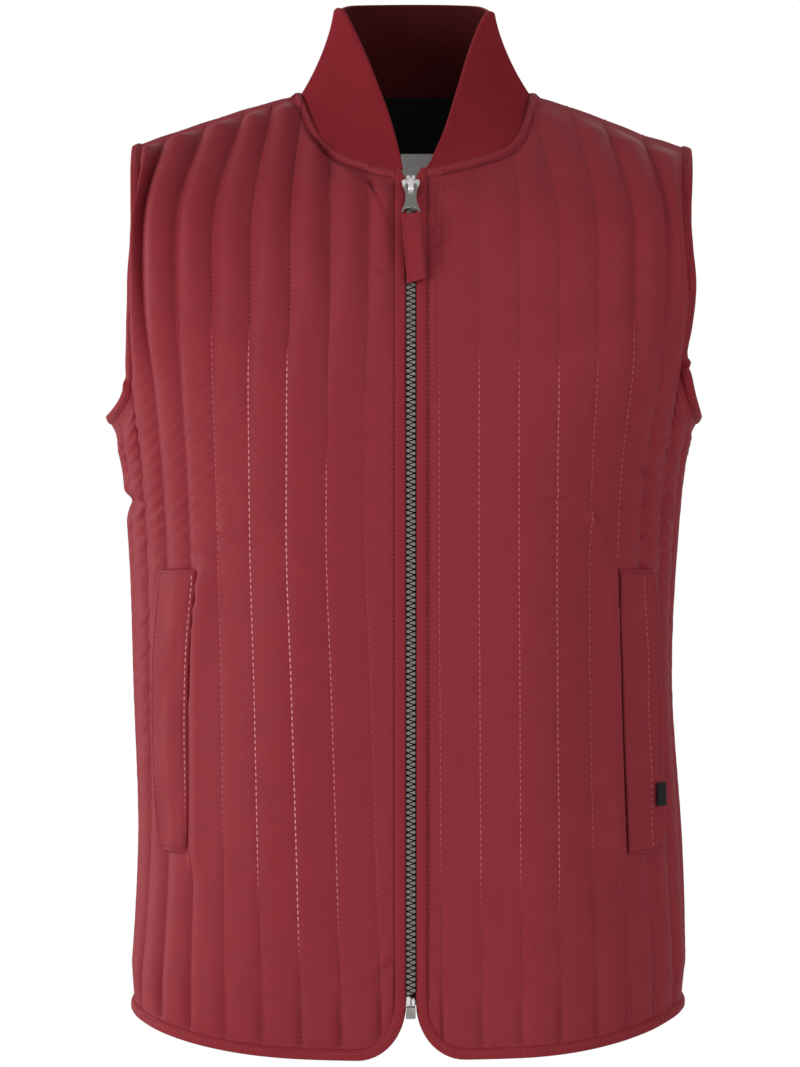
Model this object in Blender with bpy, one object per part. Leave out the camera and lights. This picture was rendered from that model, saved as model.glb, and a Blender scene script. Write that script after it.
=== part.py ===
"""Channel-quilted thermal vest with a rib collar and a front zip, filled out as on a stand.

Metres, +Z up. The vest faces -Y and +X is the wearer's left. The origin lies between the shoulders,
at the height of the two points where the collar seam meets the shoulder seams.
"""

import bpy
import numpy as np

for old in list(bpy.data.objects):
    bpy.data.objects.remove(old, do_unlink=True)

# Quilting and cloth
PITCH = 0.0254             # one channel, stitch line to stitch line
FRONT_CHANNELS = 10        # the first one, at the zip, is a part channel
BACK_CHANNELS = 20
ARM_CHANNELS = 2           # channels of each panel that end under the arm
FOLD = 0.0035              # depth of the crease below the right arm
PUFF = 0.0045              # filling's rise in the middle of a channel
SHELL_OUT = 0.0010         # wall outside the sewn surface
SHELL_IN = 0.0012          # wall inside it
SEAM_GAP = 0.0005          # clear space at each seam

# Edges
FRONT_EDGE = 0.0102        # panel's front edge from the middle of the zip
EDGE_STRIP = 0.0066        # strip between panel and zip
HEM_BINDING = 0.0063
ARM_BINDING = 0.0060
HEM_RIGHT = -0.6202        # each front's lower edge near the zip, above the binding
HEM_LEFT = -0.6194
HEM_SIDE = -0.5930         # the hem at the side seams
HEM_BACK = -0.6072         # and in the middle of the back
HEM_BEND = 3.6             # power of its rise to the sides
CORNER_WIDE = 0.0240       # rounding of the lower front corners
CORNER_HIGH = 0.0300
ARM_TOP_RIGHT = -0.1900    # where the armhole's front edge turns under the arm
ARM_TOP_LEFT = -0.1760
ARM_LOW = -0.2180          # lowest point of the armhole, at the side seam

# Girth sections of one side, from the front middle round to the back middle.
# z, front y, flat front to x, side x, side y, pull of the front and of the side on the turn between them,
# first stitch line, width of the eighth channel (cut short by the armhole in the last two)
SECTIONS_RIGHT = (
    (-0.618, -0.116, 0.070, 0.1805, -0.030, 0.62, 0.55, 0.0190, PITCH),   # hem
    (-0.492, -0.117, 0.065, 0.176, -0.008, 0.52, 0.42, 0.0222, PITCH),   # pocket, low
    (-0.390, -0.117, 0.060, 0.1795, 0.000, 0.48, 0.36, 0.0254, PITCH),   # pocket, middle
    (-0.295, -0.118, 0.060, 0.183, 0.003, 0.48, 0.32, 0.0286, PITCH),    # waist
    (-0.250, -0.120, 0.060, 0.187, 0.003, 0.50, 0.38, 0.0284, PITCH),    # below the arm
    (-0.200, -0.121, 0.060, 0.198, 0.003, 0.55, 0.45, 0.0280, PITCH),    # under the arm
    (-0.143, -0.115, 0.060, 0.207, -0.007, 0.62, 0.55, 0.0267, 0.0100),  # chest
    (-0.087, -0.101, 0.040, 0.217, 0.010, 0.62, 0.55, 0.0267, 0.0045),   # yoke
)
SECTIONS_LEFT = (
    (-0.618, -0.116, 0.070, 0.178, -0.020, 0.45, 0.48, 0.0197, PITCH),   # hem
    (-0.492, -0.117, 0.065, 0.176, -0.005, 0.45, 0.40, 0.0190, PITCH),   # pocket, low
    (-0.390, -0.117, 0.060, 0.170, 0.000, 0.48, 0.36, 0.0185, PITCH),    # pocket, middle
    (-0.295, -0.118, 0.060, 0.174, 0.003, 0.50, 0.34, 0.0180, PITCH),    # waist
    (-0.250, -0.120, 0.060, 0.1785, 0.003, 0.52, 0.40, 0.0180, PITCH),   # below the arm
    (-0.190, -0.121, 0.070, 0.1885, 0.003, 0.75, 0.58, 0.0180, PITCH),   # under the arm
    (-0.143, -0.115, 0.060, 0.205, -0.007, 0.62, 0.55, 0.0178, 0.0205),  # chest
    (-0.087, -0.101, 0.040, 0.213, 0.010, 0.62, 0.55, 0.0180, 0.0150),   # yoke
)
LOWER = 6                  # sections up to the one under the arm
# The same sections behind: back y, pulls of side and back, reach of the upper back from its middle
SECTIONS_BACK = (
    (0.112, 0.60, 0.62, None),     # hem
    (0.110, 0.60, 0.62, None),     # pocket, low
    (0.105, 0.60, 0.62, None),     # pocket, middle
    (0.101, 0.60, 0.62, None),     # waist
    (0.104, 0.60, 0.62, None),     # below the arm
    (0.112, 0.60, 0.62, None),     # under the arm
    (0.117, 0.60, 0.62, 0.187),    # chest
    (0.105, 0.60, 0.62, 0.181),    # yoke
)

# Upper edge of a front at each stitch line: distance from the zip, y, z
TOP_RIGHT = (
    (0.0102, -0.0800, -0.0565),    # front edge
    (0.0270, -0.0745, -0.0520),
    (0.0534, -0.0530, -0.0380),
    (0.0720, 0.0020, -0.0005),     # shoulder point
    (0.0920, -0.0040, -0.0062),
    (0.1110, -0.0050, -0.0118),
    (0.1363, -0.0050, -0.0200),
    (0.1629, -0.0050, -0.0290),
    (0.1785, -0.0050, -0.0345),    # shoulder tip
)
TOP_LEFT = (
    (0.0102, -0.0800, -0.0556),    # front edge
    (0.0196, -0.0780, -0.0540),
    (0.0443, -0.0680, -0.0470),
    (0.0662, -0.0490, -0.0350),
    (0.0785, 0.0020, -0.0005),     # shoulder point
    (0.1064, -0.0050, -0.0100),
    (0.1283, -0.0050, -0.0180),
    (0.1542, -0.0050, -0.0285),
    (0.1800, -0.0050, -0.0365),    # shoulder tip
)
POINT_RIGHT = 3            # stitch line at the shoulder point
POINT_LEFT = 4
NECK_LEAN = 56.0           # degrees of the panels' upper ends over the level, at the neck
SHOULDER_LEAN = 30.0
RIDGE_LEAN = 20.0          # the same of the back, which comes over the ridge to the shoulder seam
RIDGE_SPEED = 0.60
BACK_NECK_Y = 0.0680
BACK_NECK_Z = 0.0070
BACK_LEAN = 70.0
BACK_POINT = 4             # channels of the back from shoulder tip to shoulder point

# Collar: free edge from the zip up to the side of the neck, and its upper edge round the back
COLLAR_EDGE_RIGHT = (
    (-0.0057, -0.0805, -0.0560),
    (-0.0110, -0.0648, -0.0326),
    (-0.0160, -0.0530, -0.0150),
    (-0.0234, -0.0393, 0.0058),
    (-0.0293, -0.0290, 0.0215),
    (-0.0367, -0.0176, 0.0385),
    (-0.0455, -0.0040, 0.0575),
)
COLLAR_EDGE_LEFT = (
    (0.0108, -0.0805, -0.0545),
    (0.0163, -0.0726, -0.0444),
    (0.0229, -0.0618, -0.0280),
    (0.0282, -0.0500, -0.0103),
    (0.0350, -0.0345, 0.0130),
    (0.0420, -0.0198, 0.0352),
    (0.0505, -0.0040, 0.0548),
)
COLLAR_WIDEST_Y = 0.0140   # where the upper edge is widest, from above
COLLAR_BACK_Y = 0.0600
COLLAR_BACK_Z = 0.0665
COLLAR_DIP = 0.0045        # how much lower the upper edge runs at the sides of the neck
COLLAR_WALL = 0.0030
COLLAR_HOLLOW = 0.0020     # inward bow of the stand

# Pockets: welt from stitch line 6, outside the panel
WELT_WIDE = 0.0360
WELT_TOP = -0.3140
WELT_LOW = -0.4970
WELT_WALL = 0.0030
WELT_GAPE = 0.0070         # how far its open edge stands off

# Zip
CHAIN_WIDE = 0.0056
CHAIN_BACK = 0.0027        # chain's back and front from the sewn surface
CHAIN_FACE = 0.0028
TAPE_WIDE = 0.0060
CHAIN_LOW = -0.5920
CHAIN_TOP = -0.0645
SLIDER_Z = -0.0722
SLIDER_TALL = 0.0120
SLIDER_WIDE = 0.0084
SLIDER_NEAR = 0.0032       # body's back and front over the sewn surface
SLIDER_FAR = 0.0064
BRIDGE_INSIDE = 0.0086     # underside and face of the bridge that holds the puller
BRIDGE_FAR = 0.0100
PIVOT_OUT = 0.0075         # hinge line over the sewn surface
PULLER_LONG = 0.0250
PULLER_THICK = 0.0012
TAB_LONG = 0.0435
TAB_WIDE = 0.0120
TAB_THICK = 0.0014
TAB_LEAN = 4.5             # degrees to the side

# Colours: linear red, green, blue; roughness; metallic
SHELL = ((0.240, 0.028, 0.036), 0.45, 0.0)
STRIP = ((0.225, 0.025, 0.032), 0.45, 0.0)
RIB = ((0.180, 0.017, 0.023), 0.90, 0.0)
BLACK = ((0.012, 0.012, 0.014), 0.55, 0.0)
PALE = ((0.600, 0.580, 0.570), 0.80, 0.0)
TAPE = ((0.060, 0.012, 0.015), 0.85, 0.0)
GREY_METAL = ((0.300, 0.295, 0.290), 0.35, 1.0)
GUN_METAL = ((0.160, 0.160, 0.165), 0.35, 1.0)


def spline(knots, values, at, last=None):
    """Cubic pieces through the values at the knots; each inner slope is that of the parabola through three knots."""
    knots = np.asarray(knots, float)
    values = np.asarray(values, float)
    at = np.asarray(at, float)
    wide = (slice(None),) + (None,) * (values.ndim - 1)
    step = np.diff(knots)
    rise = np.diff(values, axis=0) / step[wide]
    share = (step[1:] / (step[1:] + step[:-1]))[wide]
    slope = np.empty_like(values)
    slope[1:-1] = rise[:-1] * share + rise[1:] * (1.0 - share)
    slope[0] = 1.5 * rise[0] - 0.5 * slope[1]
    slope[-1] = 1.5 * rise[-1] - 0.5 * slope[-2]
    if last is not None:
        slope[-1] = last
    i = np.clip(np.searchsorted(knots, at, side="right") - 1, 0, len(knots) - 2)
    t = ((at - knots[i]) / step[i])[wide]
    h = step[i][wide]
    return ((1 + 2 * t) * (1 - t) ** 2 * values[i] + t * (1 - t) ** 2 * h * slope[i]
            + t * t * (3 - 2 * t) * values[i + 1] + t * t * (t - 1) * h * slope[i + 1])


def girth(section, back):
    """One half section as a fine line of (x, y): flat front, cubic turn to the side, cubic turn to the back middle."""
    z, y_front, flat, side_x, side_y, front_pull, side_pull, line, last = section
    y_back, side_pull_back, back_pull, reach = back
    t = np.linspace(0.0, 1.0, 80)[:, None]
    bend = np.hstack([(1 - t) ** 3, 3 * t * (1 - t) ** 2, 3 * t * t * (1 - t), t ** 3])
    turn = bend @ np.array([
        (flat, y_front),
        (flat + front_pull * (side_x - flat), y_front),
        (side_x, side_y - side_pull * (side_y - y_front)),
        (side_x, side_y),
    ])
    rear = bend @ np.array([
        (side_x, side_y),
        (side_x, side_y + side_pull_back * (y_back - side_y)),
        (back_pull * side_x, y_back),
        (0.0, y_back),
    ])
    return np.vstack([[(0.0, y_front)], turn, rear[1:]])


def along(line, distance):
    """Points at the given distances along a line."""
    run = np.concatenate([[0.0], np.cumsum(np.linalg.norm(np.diff(line, axis=0), axis=1))])
    return np.stack([np.interp(distance, run, line[:, k]) for k in range(line.shape[1])], axis=-1)


def length(line):
    return np.linalg.norm(np.diff(line, axis=0), axis=1).sum()


def rounding(distance, wide, high):
    """Quarter ellipse: how much an edge has risen at a distance from its rounded corner."""
    gone = np.clip(1.0 - distance / wide, 0.0, 1.0)
    return high * (1.0 - np.sqrt(1.0 - gone * gone))


def hem_rise(share):
    """Share of the hem's rise on the way to the side seam, level at both ends."""
    return share ** HEM_BEND * (1 + HEM_BEND * (1 - share))


def top_points(table, point, u):
    """Upper edge of a front at channel positions u: a curve round the neck, straight pieces over the shoulder."""
    table = np.array(table)
    at = np.arange(len(table))
    neck = spline(at[:point + 1], table[:point + 1], np.minimum(u, point))
    shoulder = np.stack([np.interp(u, at, table[:, k]) for k in range(3)], axis=-1)
    return np.where((u < point)[:, None], neck, shoulder)


def seam_arc(section, u):
    """Distance along the section of channel position u."""
    line = section[7]
    seventh = line + 6 * PITCH
    arc = np.where(u < 1, FRONT_EDGE + u * (line - FRONT_EDGE), line + (u - 1) * PITCH)
    arc = np.where(u > 7, seventh + np.minimum(u - 7, 1) * section[8], arc)
    return np.where(u > 8, seventh + section[8] + (u - 8) * PITCH, arc)


def lean_slope(u, point):
    """Direction of the upper end of a front's columns, up and back."""
    lean = np.radians(np.interp(u, (point - 1.5, point), (NECK_LEAN, SHOULDER_LEAN)))
    return np.stack([0 * lean, np.cos(lean), np.sin(lean)], axis=-1)


def front_surface(sections, top, point, arm_top, hem, u, rows):
    """Sewn surface of a front on +X: rows of points, hem to upper edge, one column for each channel position u.

    The girth sections and the upper edge are joined along each column by a smooth curve. Columns past
    the eighth line stop at the armhole.
    """
    nets = []
    for k, section in enumerate(sections):
        arc = seam_arc(section, u)
        xy = along(girth(section, SECTIONS_BACK[k]), arc)
        z = np.full(len(u), section[0])
        if k == 0:
            side = np.clip(arc / seam_arc(section, np.array([10.0]))[0], 0, 1)
            z = hem + (HEM_SIDE - hem) * hem_rise(side) + rounding(arc - FRONT_EDGE, CORNER_WIDE, CORNER_HIGH)
        if k == LOWER - 1:
            under = np.maximum(u - 8, 0) * PITCH
            z = ARM_LOW + rounding(under, 2 * PITCH, arm_top - ARM_LOW)
        nets.append(np.column_stack([xy, z]))
    nets.append(top_points(top, point, np.minimum(u, 8)))
    nets = np.array(nets)
    nets[-1] -= lean_slope(np.minimum(u, 8), point) * SEAM_GAP
    full = u <= 8.0
    knots = np.concatenate([[0], np.cumsum(np.linalg.norm(np.diff(nets[:, full], axis=0), axis=2).mean(axis=1))])
    at = np.interp(rows, np.arange(len(nets)), knots)
    surface = spline(knots, nets, at, lean_slope(np.minimum(u, 8), point))
    low = at <= knots[LOWER - 1] + 1e-9
    surface[np.ix_(low, ~full)] = spline(knots[:LOWER], nets[:LOWER, ~full], at[low])
    surface[np.ix_(~low, ~full)] = np.nan
    return surface


def back_surface(u, rows):
    """Sewn surface of the back, columns from the left side seam round to the right one."""
    nets = []
    for k, rear in enumerate(SECTIONS_BACK):
        rows_k = np.empty((len(u), 3))
        for sections, sign, arm_top in ((SECTIONS_LEFT, 1.0, ARM_TOP_LEFT), (SECTIONS_RIGHT, -1.0, ARM_TOP_RIGHT)):
            here = (u <= 10) if sign > 0 else (u > 10)
            line = girth(sections[k], rear)[::-1]
            channels = np.abs(10 - u[here])
            if rear[3] is None:
                half = length(line) - seam_arc(sections[k], np.array([10.0]))[0] - SEAM_GAP
                arc = channels / 10 * half
            else:
                arc = channels / 8 * rear[3]
            xy = along(line, arc)
            z = np.full(len(arc), sections[k][0])
            if k == 0:
                z = HEM_BACK + (HEM_SIDE - HEM_BACK) * hem_rise(channels / 10)
            if k == LOWER - 1:
                z = ARM_LOW + rounding(np.maximum(channels - 8, 0) * PITCH, 2 * PITCH, arm_top - ARM_LOW)
            rows_k[here] = np.column_stack([xy[:, 0] * sign, xy[:, 1], z])
        nets.append(rows_k)
    nets.append(back_top(u))
    nets = np.array(nets)
    full = (u >= ARM_CHANNELS) & (u <= BACK_CHANNELS - ARM_CHANNELS)
    knots = np.concatenate([[0], np.cumsum(np.linalg.norm(np.diff(nets[:, full], axis=0), axis=2).mean(axis=1))])
    at = np.interp(rows, np.arange(len(nets)), knots)
    on_neck = np.clip((8 - BACK_POINT - np.abs(10 - u)) / 2.5, 0, 1)
    on_neck = (on_neck * on_neck * (3 - 2 * on_neck))[:, None]
    neck = np.radians(BACK_LEAN)
    shoulder = np.radians(RIDGE_LEAN)
    over = (0.0, -np.cos(shoulder) * RIDGE_SPEED, -np.sin(shoulder) * RIDGE_SPEED)
    last = np.array([0.0, -np.cos(neck), np.sin(neck)]) * on_neck + np.array(over) * (1 - on_neck)
    nets[-1] -= last * SEAM_GAP
    surface = spline(knots, nets, at, last)
    low = at <= knots[LOWER - 1] + 1e-9
    surface[np.ix_(low, ~full)] = spline(knots[:LOWER], nets[:LOWER, ~full], at[low])
    surface[np.ix_(~low, ~full)] = np.nan
    return surface


def back_top(u):
    """Upper edge of the back: the two shoulder seams and, between them, half an ellipse round the neck."""
    left = np.array(TOP_LEFT)[POINT_LEFT:]
    right = np.array(TOP_RIGHT)[POINT_RIGHT:] * (-1.0, 1.0, 1.0)
    middle_x = 0.5 * (left[0, 0] + right[0, 0])
    half_x = 0.5 * (left[0, 0] - right[0, 0])
    channels = np.abs(10 - u)
    turn = np.clip((u - 2 - BACK_POINT) / (16 - 2 * BACK_POINT), 0, 1) * np.pi
    neck = np.column_stack([
        middle_x + half_x * np.cos(turn),
        left[0, 1] + (BACK_NECK_Y - left[0, 1]) * np.sin(turn),
        left[0, 2] + (BACK_NECK_Z - left[0, 2]) * np.sin(turn),
    ])
    share = np.clip((channels - 8 + BACK_POINT) / BACK_POINT, 0, 1)
    on_left = along(left, share * length(left))
    on_right = along(right, share * length(right))
    shoulder = np.where((u < 10)[:, None], on_left, on_right)
    return np.where((share > 0)[:, None], shoulder, neck)


def normals(surface):
    """Unit normals of a grid of points, from its neighbours along columns and rows."""
    across = np.gradient(surface, axis=1)
    up = np.gradient(surface, axis=0)
    cross = np.cross(across, up)
    return cross / np.linalg.norm(cross, axis=2, keepdims=True)


def panel_normals(surface, step, keep):
    """Normals of a panel whose rows above step hold only the columns from keep[0] to keep[1]."""
    out = np.full(surface.shape, np.nan)
    out[:step + 1] = normals(surface[:step + 1])
    out[:, keep[0]:keep[1] + 1] = normals(surface[:, keep[0]:keep[1] + 1])
    return out


def solid(name, points, faces, look):
    """Adds a closed mesh as a named object with its own material, faces turned outwards."""
    points = np.asarray(points, float)
    used = sorted({i for face in faces for i in face})
    place = {old: new for new, old in enumerate(used)}
    points = points[used]
    faces = [[place[i] for i in face] for face in faces]
    volume = 0.0
    for face in faces:
        for a, b in zip(face[1:-1], face[2:]):
            volume += np.dot(points[face[0]], np.cross(points[a], points[b]))
    if volume < 0:
        faces = [face[::-1] for face in faces]
    mesh = bpy.data.meshes.new(name)
    mesh.from_pydata(points.tolist(), [], faces)
    mesh.shade_smooth()
    mesh.set_sharp_from_angle(angle=np.radians(50.0))
    colour, roughness, metallic = look
    material = bpy.data.materials.new(name)
    material.use_nodes = True
    shader = material.node_tree.nodes["Principled BSDF"]
    shader.inputs["Base Color"].default_value = (*colour, 1.0)
    shader.inputs["Roughness"].default_value = roughness
    shader.inputs["Metallic"].default_value = metallic
    mesh.materials.append(material)
    thing = bpy.data.objects.new(name, mesh)
    bpy.context.scene.collection.objects.link(thing)
    return thing


def wall(name, outer, inner, parts, step, keep, look):
    """A closed wall between two grids of points, outer and inner.

    Inside, one column per channel is enough, except along the rims. Above row step only the channels from
    keep[0] to keep[1] go on.
    """
    rows, columns = outer.shape[:2]
    channels = (columns - 1) // parts
    o = np.arange(rows * columns).reshape(rows, columns)
    n = o + rows * columns
    faces = []

    def is_rim(r, c):
        return r in (0, rows - 1) or (r == step and not keep[0] <= c < keep[1])

    def inner_edge(r, c):
        return list(n[r, c * parts:(c + 1) * parts + 1:1 if is_rim(r, c) else parts])

    for r in range(rows - 1):
        first, last = (0, channels) if r < step else keep
        for c in range(first, last):
            for k in range(c * parts, (c + 1) * parts):
                faces.append([o[r, k], o[r, k + 1], o[r + 1, k + 1], o[r + 1, k]])
                if r == 0:
                    faces.append([n[r, k], n[r, k + 1], o[r, k + 1], o[r, k]])
                if is_rim(r + 1, c):
                    faces.append([o[r + 1, k], o[r + 1, k + 1], n[r + 1, k + 1], n[r + 1, k]])
            faces.append(inner_edge(r + 1, c) + inner_edge(r, c)[::-1])
        left, right = first * parts, last * parts
        faces.append([n[r, left], o[r, left], o[r + 1, left], n[r + 1, left]])
        faces.append([o[r, right], n[r, right], n[r + 1, right], o[r + 1, right]])
    points = np.vstack([outer.reshape(-1, 3), inner.reshape(-1, 3)])
    return solid(name, points, [[int(i) for i in face] for face in faces], look)


def sweep(name, path, out, up, profile, look, ring=False):
    """A profile of (out, up) points moved along a path; ring closes the path."""
    profile = np.array(profile)
    rings = path[:, None] + profile[None, :, :1] * out[:, None] + profile[None, :, 1:] * up[:, None]
    count, corners = rings.shape[:2]
    i = np.arange(count * corners).reshape(count, corners)
    faces = []
    for r in range(count if ring else count - 1):
        s = (r + 1) % count
        for k in range(corners):
            m = (k + 1) % corners
            faces.append([int(i[r, k]), int(i[r, m]), int(i[s, m]), int(i[s, k])])
    if not ring:
        faces.append([int(v) for v in i[0][::-1]])
        faces.append([int(v) for v in i[-1]])
    return solid(name, rings.reshape(-1, 3), faces, look)


def unit(v):
    return v / np.linalg.norm(v, axis=-1, keepdims=True)


def outward(path, up, inside, ring=False):
    """Directions that leave a panel's edge within its surface, away from the points inside."""
    if ring:
        run = np.roll(path, -1, axis=0) - np.roll(path, 1, axis=0)
    else:
        run = np.gradient(path, axis=0)
    side = unit(np.cross(unit(run), up))
    turned = np.sign((side * (path - inside)).sum(axis=1))
    return side * np.where(turned == 0, 1.0, turned)[:, None]


def bead(wide, low, high):
    """Profile of a folded strip: its width, from a seam's clear space on, and how far it lies inside and outside."""
    start = SEAM_GAP
    end = SEAM_GAP + wide
    return ((start, low), (end - 0.0012, low), (end, low * 0.3 + high * 0.3), (end - 0.0012, high), (start, high * 0.8))


# Channel positions and rows of the solids
IN_CHANNEL = (0.0, 0.2, 0.5, 0.8)
RISE = (0.0, 0.68, 1.0, 0.68)
PARTS = len(IN_CHANNEL)
ROWS = np.array([0, 0.12, 0.5, 1, 1.5, 2, 2.5, 3, 3.35, 3.5, 3.65, 4, 4.5, 5, 5.5, 6, 6.5, 7, 7.3, 7.6, 7.88, 8])
FOLD_ROW = 9               # the pinched crease below the right arm
STEP = int(np.where(ROWS == LOWER - 1)[0][0])
YOKE = int(np.where(ROWS == 6.5)[0][0])


def positions(channels):
    whole = np.arange(channels)[:, None] + np.array(IN_CHANNEL)
    return np.append(whole.ravel(), channels)


def quilted(name, surface, normal, channels, step, keep, look, yoke=None):
    """A panel: the sewn surface moved out by the shell and the filling's rise, over a plain inner side.

    A row given as yoke is a seam: what lies above it is a piece of its own.
    """
    rise = np.append(np.tile(RISE, channels), 0.0)
    flat = np.full(len(ROWS), 1.0)
    flat[[0, -1]] = 0.25
    flat[[1, -3]] = 0.80
    flat[-2] = 0.45
    if yoke:
        flat[yoke] = 0.25
    puff = PUFF * flat[:, None] * rise[None, :]
    under = np.zeros(channels, bool)
    under[:keep[0]] = True
    under[keep[1]:] = True
    puff[step, np.append(np.repeat(under, PARTS), False)] *= 0.25
    outer = surface + normal * (SHELL_OUT + puff)[:, :, None]
    inner = surface - normal * SHELL_IN
    if not yoke:
        wall(name, outer, inner, PARTS, step, keep, look)
        return outer
    part = slice(keep[0] * PARTS, keep[1] * PARTS + 1)
    apart = unit(surface[yoke + 1] - surface[yoke - 1]) * SEAM_GAP
    lower = [side[:yoke + 1].copy() for side in (outer, inner)]
    upper = [side[yoke:, part].copy() for side in (outer, inner)]
    for below, above in zip(lower, upper):
        below[-1] -= apart
        above[0] += apart[part]
    wall(name, *lower, PARTS, step, keep, look)
    wall(name + "_yoke", *upper, PARTS, len(upper[0]) - 1, (0, keep[1] - keep[0]), look)
    return outer


# Fronts, edge strips and pocket welts
FRONTS = (
    ("right", SECTIONS_RIGHT, TOP_RIGHT, POINT_RIGHT, ARM_TOP_RIGHT, HEM_RIGHT, -1.0),
    ("left", SECTIONS_LEFT, TOP_LEFT, POINT_LEFT, ARM_TOP_LEFT, HEM_LEFT, 1.0),
)
arm_edges = {}
front_tops = {}
front_edges = {}
for side, sections, top, point, arm_top, hem, sign in FRONTS:
    u = positions(FRONT_CHANNELS)
    u[-1] -= SEAM_GAP / PITCH
    sewn = front_surface(sections, top, point, arm_top, hem, u, ROWS) * (sign, 1.0, 1.0)
    keep = (0, FRONT_CHANNELS - ARM_CHANNELS)
    if sign < 0:
        sewn = sewn[:, ::-1]
        keep = (ARM_CHANNELS, FRONT_CHANNELS)
    normal = panel_normals(sewn, STEP, (keep[0] * PARTS, keep[1] * PARTS))
    if sign < 0:
        sewn[FOLD_ROW] -= normal[FOLD_ROW] * FOLD * np.clip(u[::-1] - 8, 0, 1)[:, None]
    shell = quilted("front_" + side, sewn, normal, FRONT_CHANNELS, STEP, keep, SHELL)
    if sign < 0:
        sewn = sewn[:, ::-1]
        normal = normal[:, ::-1]
        shell = shell[:, ::-1]
    last = (FRONT_CHANNELS - ARM_CHANNELS) * PARTS
    front_tops[side] = (sewn[-1, :last + 1], normal[-1, :last + 1], sewn[-2, :last + 1])
    arm_edges[side] = [
        np.vstack([sewn[:STEP - 1:-1, last], sewn[STEP, last + 1:]]),
        np.vstack([normal[:STEP - 1:-1, last], normal[STEP, last + 1:]]),
        np.vstack([sewn[:STEP - 1:-1, last - 2], sewn[STEP - 2, last + 1:]]),
    ]
    edge = np.vstack([sewn[::-1, 0], sewn[0, 1:]])
    edge_up = np.vstack([normal[::-1, 0], normal[0, 1:]])
    edge_in = np.vstack([sewn[::-1, 3], sewn[2, 1:]])
    broad = np.append(np.ones(len(ROWS)), 1 + (HEM_BINDING / EDGE_STRIP - 1) * np.clip(np.arange(1, len(u)) / 8, 0, 1))
    out = outward(edge, edge_up, edge_in) * broad[:, None]
    sweep("edge_" + side, edge, out, edge_up, bead(EDGE_STRIP, -SHELL_IN, 0.0022), STRIP)
    front_edges[side] = (sewn[:, 0], normal[:, 0])

    # Welt of the pocket: the panel's own points moved out, its open edge standing off at the side
    open_at = WELT_WIDE / PITCH
    w = 6 + np.array([0.0, 0.2, 0.5, 0.8, 1.1, open_at])
    heights = np.array([row[0] for row in sections])[:4]
    v = np.linspace(0.0, 1.0, 10)
    welt_rows = np.interp(WELT_LOW + v * (WELT_TOP - WELT_LOW), heights, np.arange(4))
    base = front_surface(sections, top, point, arm_top, hem, w, welt_rows) * (sign, 1.0, 1.0)
    if sign < 0:
        base = base[:, ::-1]
    away = normals(base)
    lift = PUFF * np.interp(w, (6.0, 6.2, 6.5), (0.0, 0.68, 1.0)) + SHELL_OUT + 0.0009
    gape = WELT_GAPE * np.sqrt(4 * v * (1 - v))[:, None] * ((w - 6) / open_at)[None, :] ** 1.5
    lift = lift[None, :] + gape
    if sign < 0:
        lift = lift[:, ::-1]
    face = base + away * (lift + WELT_WALL)[:, :, None]
    wall("pocket_" + side, face, base + away * lift[:, :, None], 1, len(v) - 1, (0, len(w) - 1), SHELL)
    if sign > 0:
        plate = face[1:3, -2:] + away[1:3, -2:] * 0.0004
        wall("pocket_label", plate + away[1:3, -2:] * 0.0008, plate, 1, 1, (0, 1), BLACK)


# Back with its yoke, its hem binding, and the label on the yoke's inner side
u = positions(BACK_CHANNELS)
sewn = back_surface(u, ROWS)
keep = (ARM_CHANNELS, BACK_CHANNELS - ARM_CHANNELS)
first, last = keep[0] * PARTS, keep[1] * PARTS
normal = panel_normals(sewn, STEP, (first, last))
quilted("back", sewn, normal, BACK_CHANNELS, STEP, keep, SHELL, YOKE)
hem_out = outward(sewn[0], normal[0], sewn[2])
sweep("hem_back", sewn[0], hem_out, normal[0], bead(HEM_BINDING, -SHELL_IN, 0.0022), STRIP)
inside = (sewn - normal * SHELL_IN)[:, ::PARTS]
label_rows = slice(int(np.where(ROWS == 7.3)[0][0]), int(np.where(ROWS == 7.6)[0][0]) + 1)
label_at = np.array([9.35, 10.0, 10.2])
near = np.floor(np.minimum(label_at, 19)).astype(int)
part_way = (label_at - near)[None, :, None]
label = inside[label_rows][:, near] * (1 - part_way) + inside[label_rows][:, near + 1] * part_way
label_normal = normal[label_rows, ::PARTS][:, near]
wall("neck_label", label - label_normal * 0.0009, label - label_normal * 0.0017, 1, 1, (0, 2), PALE)

# Armhole bindings, closed rings along the edges of front and back
for side, column, step_columns in (("left", first, slice(0, first)), ("right", last, slice(None, last, -1))):
    path, up, inside = arm_edges[side]
    back_path = np.vstack([sewn[STEP, step_columns], sewn[STEP:, column]])[1:-1]
    back_up = np.vstack([normal[STEP, step_columns], normal[STEP:, column]])[1:-1]
    inner = column + 2 if side == "left" else column - 2
    back_inside = np.vstack([sewn[STEP - 2, step_columns], sewn[STEP:, inner]])[1:-1]
    path = np.vstack([path, back_path])
    up = np.vstack([up, back_up])
    inside = np.vstack([inside, back_inside])
    out = outward(path, up, inside, ring=True)
    sweep("armhole_" + side, path, out, up, bead(ARM_BINDING, -SHELL_IN, 0.0020), STRIP, ring=True)

# Collar: from the neck seam to its free edge, slightly hollow, with one wall of knit
neck_right = front_tops["right"][0][:POINT_RIGHT * PARTS + 1]
neck_left = front_tops["left"][0][:POINT_LEFT * PARTS + 1]
neck_back = sewn[-1, 6 * PARTS:14 * PARTS + 1]
front_steps = np.linspace(0.0, 1.0, 13)
back_steps = np.linspace(0.0, 1.0, 25)[1:-1]


def even(line, steps):
    return along(line, steps * length(line))


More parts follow.
